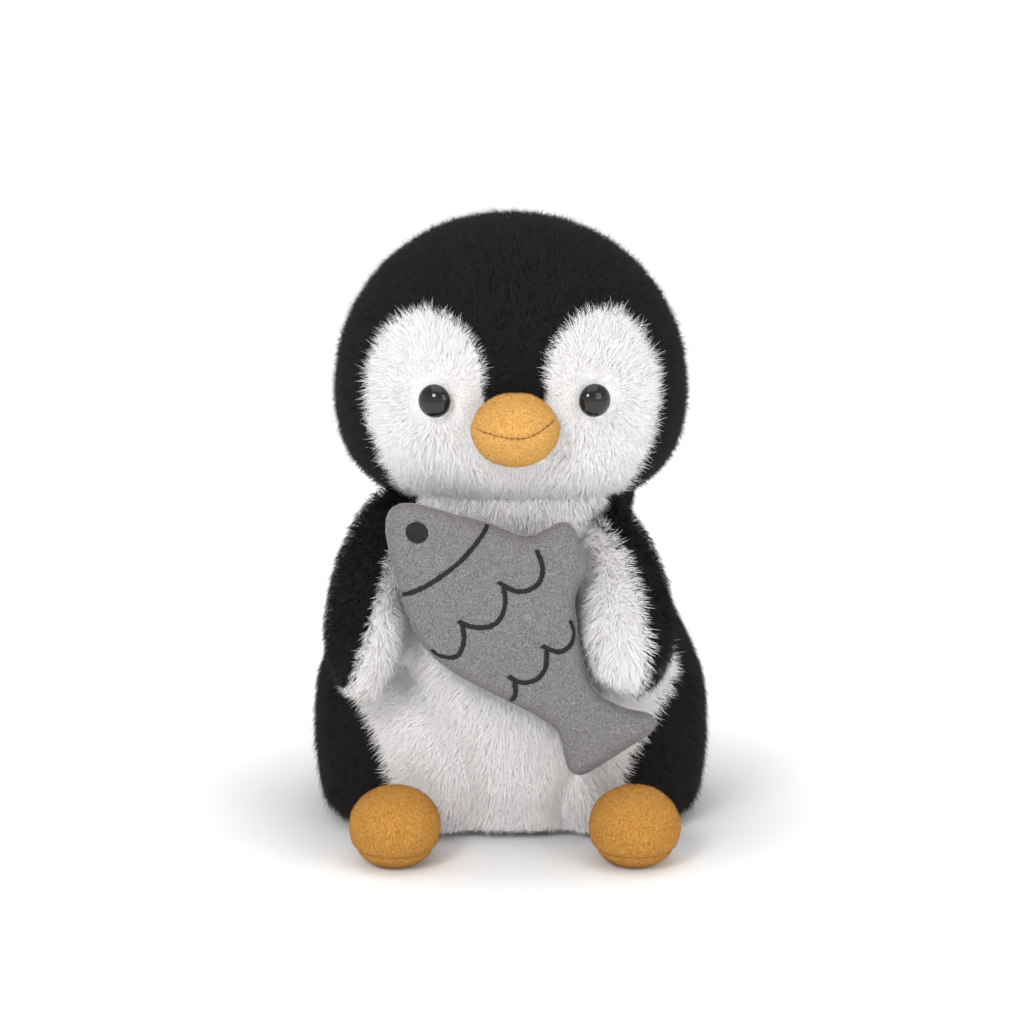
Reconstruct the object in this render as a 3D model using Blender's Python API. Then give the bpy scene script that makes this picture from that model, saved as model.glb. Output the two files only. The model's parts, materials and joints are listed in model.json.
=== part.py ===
"""A plush penguin that holds a plush fish: its sewn panels, fillings, threads and plastic parts.

Metres, +Z up. The penguin faces -Y, so its left side is +X. It sits on Z = 0, and the origin is
under the middle of its box. Soft pieces are plain closed solids of the size their pile reaches.
"""

import math

import bmesh
import bpy
import numpy as np
from mathutils import Matrix, Vector

MM = 0.001

# Driving dimensions
GAP = 0.35 * MM  # between pieces that touch
PILE_SKIN = 3.0 * MM  # backing and pile of the long black and white cloth
NAP_SKIN = 1.8 * MM  # the short orange and grey cloth
BASE_THICKNESS = 2.6 * MM
TORSO_Y = 12.25 * MM  # the torso's axis stands behind the middle, because the feet reach forward
TORSO_TOP = 115 * MM
TORSO_DEPTH_RATIO = 0.77  # half depth over half width
TORSO_WIDTHS = (  # height, half width, in millimetres: a wide seat under a narrower chest
    (0, 64), (5, 69.5), (14, 72.5), (36, 74), (52, 72.5), (63, 68), (72, 61.5),
    (84, 56), (98, 51), (106, 46), (111, 38), (115, 22),
)
BASE_SQUARENESS = 3.2  # exponent of the torso's plan at the floor
TOP_SQUARENESS = 2.3
THIGH_BULGE = 6 * MM
THIGH_X = 42 * MM
NECK_Z = 115 * MM  # the head nods and turns about this point
NECK_RADIUS = 18 * MM
NECK_LOOSENESS = 3.5 * MM  # room for the plug to tip in the torso's neck opening
HEAD_Y = TORSO_Y - 2 * MM
HEAD_Z = 160 * MM
HEAD_HALF_X = 65 * MM
HEAD_HALF_Y = 57 * MM
HEAD_UP = 64 * MM
HEAD_DOWN = 44.5 * MM
EYE_X = 28 * MM
EYE_Z = 162.5 * MM
EYE_RADIUS = 6 * MM
BEAK_Z = 153.5 * MM
BEAK_Y = HEAD_Y - 55.5 * MM
BEAK_HALF = (16 * MM, 19 * MM, 13.3 * MM)
MOUTH_Z = 151.5 * MM
TAIL_Z = 21 * MM
TAIL_Y = TORSO_Y + 60 * MM
FOOT_HALF = (16.4 * MM, 18 * MM, 14.2 * MM)
FOOT_Z = 13.4 * MM
SOLE_SEAM_Z = 6 * MM
ROUND_STEPS = 24  # faces round the head and torso


# Outlines and sections


def smooth(points, place):
    """The value at a place on a smooth curve through (place, value) points."""
    places, values = (np.array(side, float) for side in zip(*points))
    slopes = np.gradient(values, places)
    place = min(max(place, places[0]), places[-1])
    low = min(int(np.searchsorted(places, place, side="right")) - 1, len(places) - 2)
    span = places[low + 1] - places[low]
    t = (place - places[low]) / span
    return float(
        (2 * t**3 - 3 * t**2 + 1) * values[low]
        + (t**3 - 2 * t**2 + t) * span * slopes[low]
        + (3 * t**2 - 2 * t**3) * values[low + 1]
        + (t**3 - t**2) * span * slopes[low + 1]
    )


def superellipse(angle, exponent):
    """The point of a unit superellipse in the direction of an angle."""
    x, y = math.cos(angle), math.sin(angle)
    scale = (abs(x) ** exponent + abs(y) ** exponent) ** (-1 / exponent)
    return x * scale, y * scale


def dome(height, exponent):
    """How wide a rounded form is at a height from -1 to 1."""
    return max(0.0, 1 - abs(height) ** exponent) ** (1 / exponent)


def rounded(points, steps=3, closed=True):
    """Points along a smooth curve through the given 2-D points, in millimetres, as metres."""
    count = len(points)
    spans = count if closed else count - 1
    made = []
    for span in range(spans):
        if closed:
            near = [points[(span + k) % count] for k in (-1, 0, 1, 2)]
        else:
            near = [points[min(max(span + k, 0), count - 1)] for k in (-1, 0, 1, 2)]
        a, b, c, d = (np.array(p, float) for p in near)
        for step in range(steps):
            t = step / steps
            curve = 2 * b + (c - a) * t + (2 * a - 5 * b + 4 * c - d) * t**2
            made.append(tuple((curve + (3 * b - a - 3 * c + d) * t**3) * 0.5 * MM))
    if not closed:
        made.append(tuple(np.array(points[-1], float) * MM))
    return made


def grown(outline, distance):
    """A closed outline moved outwards by a distance, inwards if it is negative."""
    points = np.array(outline)
    along = np.roll(points, -1, axis=0) - np.roll(points, 1, axis=0)
    area = (points[:, 0] * np.roll(points[:, 1], -1) - points[:, 1] * np.roll(points[:, 0], -1)).sum()
    outwards = np.stack([along[:, 1], -along[:, 0]], axis=1) * np.sign(area)
    outwards /= np.linalg.norm(outwards, axis=1)[:, None]
    return [tuple(point) for point in points + outwards * distance]


# Objects


def material(name, colour, roughness):
    made = bpy.data.materials.new(name)
    made.use_nodes = True
    shader = made.node_tree.nodes["Principled BSDF"]
    shader.inputs["Base Color"].default_value = (*colour, 1)
    shader.inputs["Roughness"].default_value = roughness
    shader.inputs["Metallic"].default_value = 0
    return made


def face_outwards(bm):
    """Points the faces of a closed mesh outwards."""
    bmesh.ops.recalc_face_normals(bm, faces=bm.faces)
    if bm.calc_volume(signed=True) < 0:
        bmesh.ops.reverse_faces(bm, faces=bm.faces)
    bm.normal_update()


def object_from(name, bm, finish=None):
    """A smooth-shaded object from a bmesh. One with no finish is a cutter, left out of the model."""
    face_outwards(bm)
    mesh = bpy.data.meshes.new(name)
    bm.to_mesh(mesh)
    bm.free()
    mesh.shade_smooth()
    made = bpy.data.objects.new(name, mesh)
    bpy.context.scene.collection.objects.link(made)
    if finish is None:
        made.hide_render = True
        made.display_type = "WIRE"
    else:
        mesh.materials.append(finish)
    return made


def moved_in(bm, inset):
    """Moves every point of a closed form inwards."""
    face_outwards(bm)
    moves = [(vertex, vertex.normal * inset) for vertex in bm.verts]
    for vertex, move in moves:
        vertex.co -= move


def boolean(made, other, operation):
    modifier = made.modifiers.new(f"{operation.lower()}_{other.name}", "BOOLEAN")
    modifier.operation = operation
    modifier.object = other


def carve(made, keep=(), remove=()):
    """Keeps what is inside some cutters and removes what is inside others."""
    for cutter in keep:
        boolean(made, cutter, "INTERSECT")
    for cutter in remove:
        boolean(made, cutter, "DIFFERENCE")
    return made


def block(name, low, high):
    """A box-shaped cutter between two corners."""
    bm = bmesh.new()
    bmesh.ops.create_cube(bm, size=1)
    low, high = Vector(low), Vector(high)
    for vertex in bm.verts:
        vertex.co = (low + high) / 2 + Vector(a * b for a, b in zip(vertex.co, high - low))
    return object_from(name, bm)


def prism(name, outline, front, back, finish=None):
    """An outline of (x, z) points extruded along Y."""
    bm = bmesh.new()
    face = bm.faces.new([bm.verts.new((x, front, z)) for x, z in outline])
    new = bmesh.ops.extrude_face_region(bm, geom=[face])["geom"]
    moved = [g for g in new if isinstance(g, bmesh.types.BMVert)]
    bmesh.ops.translate(bm, verts=moved, vec=(0, back - front, 0))
    return object_from(name, bm, finish)


def turned(name, profile, steps, place=None, finish=None, ring=False):
    """A profile of (radius, height) points turned about Z, then placed by a matrix."""
    bm = bmesh.new()
    verts = [bm.verts.new((radius, 0, height)) for radius, height in profile]
    pairs = list(zip(verts, verts[1:]))
    if ring:
        pairs.append((verts[-1], verts[0]))
    edges = [bm.edges.new(pair) for pair in pairs]
    bmesh.ops.spin(
        bm, geom=verts + edges, cent=(0, 0, 0), axis=(0, 0, 1), angle=math.tau, steps=steps, use_merge=True
    )
    bmesh.ops.remove_doubles(bm, verts=bm.verts, dist=1e-7)
    bmesh.ops.transform(bm, matrix=place or Matrix(), verts=bm.verts)
    return object_from(name, bm, finish)


def thread(name, routes, radius, finish):
    """Embroidery thread: a tube along one open route, with filled ends."""
    curve = bpy.data.curves.new(name, "CURVE")
    curve.dimensions = "3D"
    curve.bevel_depth = radius
    curve.bevel_resolution = 1
    curve.use_fill_caps = True
    spline = curve.splines.new("POLY")
    spline.points.add(len(routes) - 1)
    for point, place in zip(spline.points, routes):
        point.co = (*place, 1)
    curve.materials.append(finish)
    made = bpy.data.objects.new(name, curve)
    bpy.context.scene.collection.objects.link(made)
    return made


def pivot(name, place):
    """An empty on a joint's axis."""
    empty = bpy.data.objects.new(name, None)
    empty.location = place
    bpy.context.scene.collection.objects.link(empty)
    return empty


def hang(empty, pieces):
    """Parents the pieces of a moving part to the empty on its joint, without moving them."""
    bpy.context.view_layer.update()
    for piece in pieces:
        piece.parent = empty
        piece.matrix_parent_inverse = empty.matrix_world.inverted()


# Torso


def torso_form(name, inset=0.0, bottom=None, finish=None):
    """The seated body, moved in by an inset, its flat underside moved to a given height."""
    bm = bmesh.new()
    bmesh.ops.create_cone(bm, cap_ends=True, segments=ROUND_STEPS, radius1=1, radius2=1, depth=1)
    sides = [e for e in bm.edges if abs(e.verts[0].co.z - e.verts[1].co.z) > 0.5]
    bmesh.ops.subdivide_edges(bm, edges=sides, cuts=10)
    low = [v for v in bm.verts if v.co.z < -0.49]
    for vertex in bm.verts:
        share = vertex.co.z + 0.5
        height = TORSO_TOP * (0.5 - 0.5 * math.cos(math.pi * share))
        half = smooth(TORSO_WIDTHS, height / MM) * MM
        x, y = superellipse(
            math.atan2(vertex.co.y, vertex.co.x), BASE_SQUARENESS + (TOP_SQUARENESS - BASE_SQUARENESS) * share
        )
        side = (abs(x * half) - THIGH_X) / (17 * MM)
        bulge = THIGH_BULGE * math.exp(-side**2 - (height / (26 * MM)) ** 2) * max(0.0, -y)
        vertex.co = (x * half, TORSO_Y + y * half * TORSO_DEPTH_RATIO - bulge, height)
    moved_in(bm, inset)
    for vertex in low if bottom is not None else []:
        vertex.co.z = bottom
    return object_from(name, bm, finish)


def belly_outline():
    """Front edge of the side seams: wide across the chest, drawn in above the feet."""
    side = ((43, -6), (44.5, 12), (48, 28), (54, 44), (60, 60), (55.5, 76), (48, 92), (42, 108), (38, 124))
    return rounded([*side, *((-x, z) for x, z in reversed(side))], steps=2)


def build_torso(black, white, base_cloth, filling, pellets, dark_thread, tape):
    inner = torso_form("torso_inside", PILE_SKIN, bottom=-5 * MM)
    front_edge, middle = TORSO_Y - 90 * MM, TORSO_Y - 4 * MM
    belly_zone = prism("belly_zone", belly_outline(), front_edge, middle)
    belly_clear = prism("belly_clearance", grown(belly_outline(), GAP), front_edge, middle + GAP)
    clear = NECK_RADIUS + NECK_LOOSENESS
    hole = [(0, 99 * MM), (clear, 99 * MM), (clear, 130 * MM), (0, 130 * MM)]
    opening = turned("neck_opening", hole, 24, Matrix.Translation((0, TORSO_Y, 0)))
    carve(torso_form("belly_panel", finish=white), keep=[belly_zone], remove=[inner, opening])
    reach = 100 * MM
    for side, low, high in (("left", GAP / 2, reach), ("right", -reach, -GAP / 2)):
        half = block(f"{side}_half", (low, -reach, -reach), (high, reach, 2 * reach))
        panel = torso_form(f"back_panel_{side}", finish=black)
        carve(panel, keep=[half], remove=[belly_clear, inner, opening])
    build_base(base_cloth)
    pellet_bag("pellet_bag", 0, 3.1 * MM, pellets)
    recess = pellet_bag("pellet_recess", 0.5 * MM, -2 * MM, None)
    stuffing = torso_form("torso_stuffing", PILE_SKIN + 2 * GAP, BASE_THICKNESS + GAP, filling)
    carve(stuffing, remove=[recess, opening])
    closing_thread(dark_thread)
    care_label(tape)


def build_base(cloth):
    """The flat bottom panel, which lies inside the lower edge of the skin."""
    bm = bmesh.new()
    bmesh.ops.create_cone(
        bm, cap_ends=True, segments=ROUND_STEPS, radius1=1, radius2=1, depth=BASE_THICKNESS
    )
    half = TORSO_WIDTHS[0][1] * MM - PILE_SKIN - GAP
    for vertex in bm.verts:
        x, y = superellipse(math.atan2(vertex.co.y, vertex.co.x), BASE_SQUARENESS)
        deep = TORSO_WIDTHS[0][1] * MM * TORSO_DEPTH_RATIO - PILE_SKIN - GAP
        vertex.co = (x * half, TORSO_Y + y * deep, vertex.co.z + BASE_THICKNESS / 2)
    return object_from("base_panel", bm, cloth)


def pellet_bag(name, extra, lowest, finish):
    """A flattened bag of pellets on the base, or with some extra, the recess that holds it."""
    bm = bmesh.new()
    bmesh.ops.create_uvsphere(bm, u_segments=16, v_segments=8, radius=1)
    for vertex in bm.verts:
        x, y, z = vertex.co
        height = max(14 * MM + z * (13 * MM + extra), lowest)
        vertex.co = (x * (38 * MM + extra), TORSO_Y + y * (28 * MM + extra), height)
    return object_from(name, bm, finish)


def back_surface(height):
    """The Y of the torso's back on the middle line at a height."""
    return TORSO_Y + smooth(TORSO_WIDTHS, height / MM) * MM * TORSO_DEPTH_RATIO


def closing_thread(finish):
    """The ladder stitch up the lower back seam."""
    radius = 0.5 * MM
    heights = [z * MM for z in range(38, 71, 4)]
    route = [(0, back_surface(z) + radius + 2 * GAP, z) for z in heights]
    thread("closing_thread", route, radius, finish)


def care_label(finish):
    """A blank folded tape in the seam between the back and the base."""
    outline = [(-27, 1.2), (-13, 1.2), (-13, 2.2), (-27, 2.2)]
    low = TORSO_Y + 51.7 * MM
    prism("care_label", [(x * MM, z * MM) for x, z in outline], low, low + 13 * MM, finish)


# Tail


def tail_form(name, inset=0.0, finish=None):
    """A short blunt wedge that points back and a little up."""
    bm = bmesh.new()
    bmesh.ops.create_uvsphere(bm, u_segments=12, v_segments=6, radius=1)
    for vertex in bm.verts:
        x, y, z = vertex.co
        blunt = 1 - 0.35 * max(0.0, y)
        vertex.co = (x * blunt * 14 * MM, TAIL_Y + y * 11 * MM, TAIL_Z + z * blunt * 8 * MM + y * 2.5 * MM)
    moved_in(bm, inset)
    return object_from(name, bm, finish)


def build_tail(black, filling):
    reach = 40 * MM
    behind = torso_form("torso_clear_of_tail", -1.2 * MM)
    inner = tail_form("tail_inside", 2.5 * MM)
    root, end = TAIL_Y - reach, TAIL_Y + reach
    above = block("above_tail_seam", (-reach, root, TAIL_Z + GAP / 2), (reach, end, TAIL_Z + reach))
    below = block("below_tail_seam", (-reach, root, TAIL_Z - reach), (reach, end, TAIL_Z - GAP / 2))
    pieces = [
        carve(tail_form("tail_upper", finish=black), keep=[above], remove=[inner, behind]),
        carve(tail_form("tail_lower", finish=black), keep=[below], remove=[inner, behind]),
        carve(tail_form("tail_stuffing", 2.5 * MM + GAP, filling), remove=[behind]),
    ]
    hang(pivot("tail_pivot", (0, TAIL_Y - 3 * MM, TAIL_Z)), pieces)


# Head


def head_form(name, inset=0.0, finish=None):
    bm = bmesh.new()
    bmesh.ops.create_uvsphere(bm, u_segments=ROUND_STEPS, v_segments=12, radius=1)
    for vertex in bm.verts:
        height = vertex.co.z
        up = height >= 0
        across = dome(height, 2.05 if up else 2.7)
        x, y = superellipse(math.atan2(vertex.co.y, vertex.co.x), 2.05)
        vertex.co = (
            x * across * HEAD_HALF_X,
            HEAD_Y + y * across * HEAD_HALF_Y,
            HEAD_Z + height * (HEAD_UP if up else HEAD_DOWN),
        )
    moved_in(bm, inset)
    return object_from(name, bm, finish)


def head_front(x, z):
    """The Y of the head's front surface at a place in its front view."""
    height = (z - HEAD_Z) / (HEAD_UP if z >= HEAD_Z else HEAD_DOWN)
    across = dome(height, 2.05 if z >= HEAD_Z else 2.7)
    return HEAD_Y - HEAD_HALF_Y * across * dome(x / (HEAD_HALF_X * across), 2.05)


def face_outline():
    """Two lobes over the eyes, a peak between them down to the beak, round cheeks, a wide chin."""
    side = ((0, 157), (7, 159), (9.6, 167), (10.5, 176), (15, 185.5), (23, 191.5), (31.5, 193.5))
    side += ((43, 187.5), (51.5, 171), (50.5, 150), (44, 133), (37, 120), (36, 106))
    return rounded([*side, *((-x, z) for x, z in reversed(side[1:]))], steps=3)


def eye_place(side):
    """Where an eye sits on the face, its Z along the way it looks."""
    x = side * EYE_X
    place = Vector((x, head_front(x, EYE_Z), EYE_Z))
    step = 1 * MM
    across = Vector((step, head_front(x + step, EYE_Z) - place.y, 0))
    look = across.cross(Vector((0, 0, -1))).normalized()
    look = look if look.y < 0 else -look
    return Matrix.Translation(place) @ look.to_track_quat("Z", "X").to_matrix().to_4x4()


def build_eyes(gloss, washer_plastic):
    """The eyes, their washers, and the cutters for the shank holes and the washers' pockets."""
    pieces, holes, pockets = [], [], []
    radius, shank = EYE_RADIUS, 2 * MM
    sunk = PILE_SKIN + GAP
    dome_profile = [
        (radius * math.sin(turn), GAP + 4.4 * MM * math.cos(turn)) for turn in np.linspace(0, math.pi / 2, 5)
    ]
    for name, side in (("left", 1), ("right", -1)):
        place = eye_place(side)
        profile = [*dome_profile, (shank, GAP), (shank, -sunk - 6 * MM), (0, -sunk - 6.6 * MM)]
        pieces.append(turned(f"eye_{name}", profile, 16, place, gloss))
        ring = [(shank + 0.3 * MM, 0), (7 * MM, 0), (7 * MM, 1.3 * MM), (shank + 0.3 * MM, 1.3 * MM)]
        lower = place @ Matrix.Translation((0, 0, -sunk - 2.7 * MM))
        pieces.append(turned(f"eye_washer_{name}", ring, 16, lower, washer_plastic, ring=True))
        wide, low, high = shank + 0.5 * MM, -sunk - 7.5 * MM, 8 * MM
        hole = [(0, low), (wide, low), (wide, high), (0, high)]
        holes.append(turned(f"eye_hole_{name}", hole, 12, place))
        pocket = [(0, -sunk - 3.2 * MM), (7.6 * MM, -sunk - 3.2 * MM), (7.6 * MM, 4 * MM), (0, 4 * MM)]
        pockets.append(turned(f"washer_pocket_{name}", pocket, 16, place))
    return pieces, holes, pockets


def build_head(black, white, filling, gloss, washer_plastic):
    inner = head_form("head_inside", PILE_SKIN)
    front_edge, middle = HEAD_Y - 90 * MM, HEAD_Y - 22 * MM
    zone = prism("face_zone", face_outline(), front_edge, middle)
    clear = prism("face_clearance", grown(face_outline(), GAP), front_edge, middle + GAP)
    radius = NECK_RADIUS + GAP
    opening = turned(
        "head_opening",
        [(0, 100 * MM), (radius, 100 * MM), (radius, 126 * MM), (0, 126 * MM)],
        24,
        Matrix.Translation((0, TORSO_Y, 0)),
    )
    eyes, holes, pockets = build_eyes(gloss, washer_plastic)
    pieces = [carve(head_form("face_panel", finish=white), keep=[zone], remove=[inner, opening, *holes])]
    reach = 300 * MM
    for side, low, high in (("left", GAP / 2, reach), ("right", -reach, -GAP / 2)):
        half = block(f"head_{side}_half", (low, -reach, 0), (high, reach, reach))
        shell = head_form(f"head_shell_{side}", finish=black)
        pieces.append(carve(shell, keep=[half], remove=[clear, inner, opening]))
    stuffing = head_form("head_stuffing", PILE_SKIN + GAP, filling)
    pieces.append(carve(stuffing, remove=[opening, *holes, *pockets]))
    return pieces + eyes


def beak_form(name, inset=0.0, finish=None):
    """A plump rounded cone, widest at the mouth."""
    bm = bmesh.new()
    bmesh.ops.create_uvsphere(bm, u_segments=16, v_segments=8, radius=1)
    for vertex in bm.verts:
        x, y, z = vertex.co
        slim = 1 - 0.12 * max(0.0, z)
        vertex.co = (x * BEAK_HALF[0] * slim, BEAK_Y + y * BEAK_HALF[1], BEAK_Z + z * BEAK_HALF[2])
    moved_in(bm, inset)
    return object_from(name, bm, finish)


def build_beak(orange, filling, dark_thread):
    face = head_form("face_clear_of_beak", -1.5 * GAP)
    inner = beak_form("beak_inside", NAP_SKIN)
    reach = 60 * MM
    tip, root = BEAK_Y - reach, BEAK_Y + reach
    above = block("above_mouth", (-reach, tip, MOUTH_Z + GAP / 2), (reach, root, MOUTH_Z + reach))
    below = block("below_mouth", (-reach, tip, MOUTH_Z - reach), (reach, root, MOUTH_Z - GAP / 2))
    radius = 0.6 * MM
    stand = radius + 2 * GAP
    route = []
    for turn in np.radians(np.arange(-66, 67, 12)):
        sideways = (BEAK_HALF[0] + stand) * math.sin(turn)
        route.append((sideways, BEAK_Y - (BEAK_HALF[1] + stand) * math.cos(turn), MOUTH_Z))
    return [
        carve(beak_form("beak_upper", finish=orange), keep=[above], remove=[inner, face]),
        carve(beak_form("beak_lower", finish=orange), keep=[below], remove=[inner, face]),
        carve(beak_form("beak_stuffing", NAP_SKIN + GAP, filling), remove=[face]),
        thread("mouth_thread", route, radius, dark_thread),
    ]


def build_neck(filling):
    """The plug of firm filling between head and torso."""
    radius = NECK_RADIUS
    profile = [(0, 103), (14, 103), (18, 107), (18, 121.5), (14, 125.4), (0, 125.4)]
    profile = [(min(r * MM, radius), z * MM) for r, z in profile]
    return turned("neck_stuffing", profile, 24, Matrix.Translation((0, TORSO_Y, 0)), filling)


# Wings: shoulder, middle and tip of each centre line relative to the torso's axis, in millimetres,
# and how far the palm is turned from facing forwards towards the other wing
WINGS = {
    "left": (1, ((37, -32, 115), (42, -55.5, 89), (43, -65, 58)), 68),
    "right": (-1, ((-45, -29, 115), (-53, -49, 89), (-55, -64.5, 57)), 100),
}
WING_HALF_CHORD = 16.5 * MM
WING_HALF_THICKNESS = 14.8 * MM
WING_TAPER = ((0, 0.66), (0.35, 0.9), (0.65, 1), (1, 0.92))  # share of the length, share of the width


def wing_axes(side, turn):
    """The palm's outward direction and the direction of the wing's front edge."""
    angle = math.radians(turn)
    palm = Vector((-side * math.sin(angle), -math.cos(angle), 0))
    edge = Vector((side * math.cos(angle), -math.sin(angle), 0))
    return palm, edge


def wing_centre(points, share):
    """A point of the wing's centre line, from the shoulder at 0 to the tip at 1."""
    start, middle, end = (Vector(p) * MM for p in points)
    bend = 2 * middle - (start + end) / 2
    place = start * (1 - share) ** 2 + bend * 2 * share * (1 - share) + end * share**2
    return place + Vector((0, TORSO_Y, 0))


def wing_form(name, which, inset=0.0, finish=None):
    side, points, turn = WINGS[which]
    palm, edge = wing_axes(side, turn)
    bm = bmesh.new()
    bmesh.ops.create_uvsphere(bm, u_segments=14, v_segments=10, radius=1)
    for vertex in bm.verts:
        share = (1 - vertex.co.z) / 2
        wide = dome(vertex.co.z, 2.3) * smooth(WING_TAPER, share)
        angle = math.atan2(vertex.co.y, vertex.co.x)
        across = edge * math.cos(angle) * WING_HALF_CHORD + palm * math.sin(angle) * WING_HALF_THICKNESS
        vertex.co = wing_centre(points, share) + across * wide
    moved_in(bm, inset)
    return object_from(name, bm, finish)


def build_wing(which, black, white, filling):
    side, points, turn = WINGS[which]
    palm, edge = wing_axes(side, turn)
    inner = wing_form(f"wing_{which}_inside", which, 2.5 * MM)
    middle = wing_centre(points, 0.5)
    reach = 90 * MM
    halves = {}
    for name, sign in (("lining", 1), ("outer", -1)):
        half = block(f"wing_{which}_{name}_half", (-reach, -reach, GAP / 2), (reach, reach, reach))
        facing = (palm * sign).to_track_quat("Z", "Y").to_matrix().to_4x4()
        half.matrix_world = Matrix.Translation(middle) @ facing
        halves[name] = half
    outer = wing_form(f"wing_{which}_outer", which, finish=black)
    lining = wing_form(f"wing_{which}_lining", which, finish=white)
    pieces = [
        carve(outer, keep=[halves["outer"]], remove=[inner]),
        carve(lining, keep=[halves["lining"]], remove=[inner]),
        wing_form(f"wing_{which}_stuffing", which, 2.5 * MM + GAP, filling),
    ]
    hang(pivot(f"wing_{which}_pivot", wing_centre(points, 0.16)), pieces)


# Feet: the middle of each, relative to the torso's axis
FEET = {"left": (42 * MM, -77.5 * MM), "right": (-43 * MM, -75.5 * MM)}


def foot_form(name, which, inset=0.0, finish=None):
    """A plump egg with a flattened sole."""
    middle_x, middle_y = FEET[which]
    bm = bmesh.new()
    bmesh.ops.create_uvsphere(bm, u_segments=14, v_segments=8, radius=1)
    for vertex in bm.verts:
        x, y, z = vertex.co
        height = max(FOOT_Z + z * (FOOT_HALF[2] - inset), inset)
        vertex.co = (
            middle_x + x * (FOOT_HALF[0] - inset),
            TORSO_Y + middle_y + y * (FOOT_HALF[1] - inset),
            height,
        )
    return object_from(name, bm, finish)


def build_foot(which, orange, filling):
    middle_x, middle_y = FEET[which]
    reach = 60 * MM
    low, high = (middle_x - reach, -2 * reach), (middle_x + reach, reach)
    above = block(f"foot_{which}_above_seam", (*low, SOLE_SEAM_Z + GAP / 2), (*high, reach))
    below = block(f"foot_{which}_below_seam", (*low, -reach), (*high, SOLE_SEAM_Z - GAP / 2))
    inner = foot_form(f"foot_{which}_inside", which, NAP_SKIN)
    pieces = [
        carve(foot_form(f"foot_{which}_upper", which, finish=orange), keep=[above], remove=[inner]),
        carve(foot_form(f"foot_{which}_sole", which, finish=orange), keep=[below], remove=[inner]),
        foot_form(f"foot_{which}_stuffing", which, NAP_SKIN + GAP, filling),
    ]
    ankle = (middle_x, TORSO_Y + middle_y + FOOT_HALF[1] - 4 * MM, FOOT_Z)
    hang(pivot(f"foot_{which}_pivot", ankle), pieces)


# Fish: drawn in its own (x, z) plane in millimetres, which leans forwards at the tail end
FISH_OUTLINE = (
    (-46.5, 117), (-43.5, 127), (-33, 127.3), (-20, 123.6), (-8, 121), (4, 116), (12.5, 120), (20, 121.2),
    (25, 110), (26.7, 103.5), (22, 95.5), (22.6, 84), (25, 71), (29, 59.8), (40, 54), (49, 52), (50.6, 46),
    (40, 39), (29, 32), (21.5, 28.7), (17, 34), (14.5, 45.5), (-1, 55), (-19, 64.5), (-33, 75.5), (-40, 91.5),
)
FISH_LEAN = math.atan(0.1056)
FISH_TOP = (-62 * MM, 120 * MM)  # the seam plane's Y relative to the torso's axis, and its height there
FISH_HALF_THICKNESS = 6 * MM
FISH_RIM = 2 * MM


def fish_place():
    """The seam plane: local Y is through the fish's thickness, and local Z starts at the height of 120 mm."""
    height = FISH_TOP[1]
    return (
        Matrix.Translation((0, TORSO_Y + FISH_TOP[0], height))
        @ Matrix.Rotation(-FISH_LEAN, 4, "X")
        @ Matrix.Translation((0, 0, -height))
    )


def fish_pillow(name, inset=0.0, finish=None):
    """Both puffed sides of the fish: flat in the middle, sloping down to the seam at the edge."""
    bm = bmesh.new()
    slope = 3 * MM - 0.8 * inset
    outline = grown(rounded(FISH_OUTLINE, steps=2), -inset)
    faces = [bm.faces.new([bm.verts.new((x, 0, z)) for x, z in outline])]
    rim, full = FISH_RIM - 0.6 * inset, FISH_HALF_THICKNESS - inset
    new = bmesh.ops.extrude_face_region(bm, geom=faces)["geom"]
    moved = [g for g in new if isinstance(g, bmesh.types.BMVert)]
    bmesh.ops.translate(bm, verts=moved, vec=(0, 2 * rim, 0))
    bmesh.ops.translate(bm, verts=bm.verts, vec=(0, -rim, 0))
    bmesh.ops.recalc_face_normals(bm, faces=bm.faces)
    for face in [f for f in bm.faces if len(f.verts) > 4]:
        bmesh.ops.inset_region(bm, faces=[face], thickness=slope, depth=full - rim)
    bmesh.ops.transform(bm, matrix=fish_place(), verts=bm.verts)
    return object_from(name, bm, finish)


def on_fish(points, stand):
    """Places (x, z) points of the fish's drawing in front of its face."""
    return [fish_place() @ Vector((x, -FISH_HALF_THICKNESS - stand, z)) for x, z in points]


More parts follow.
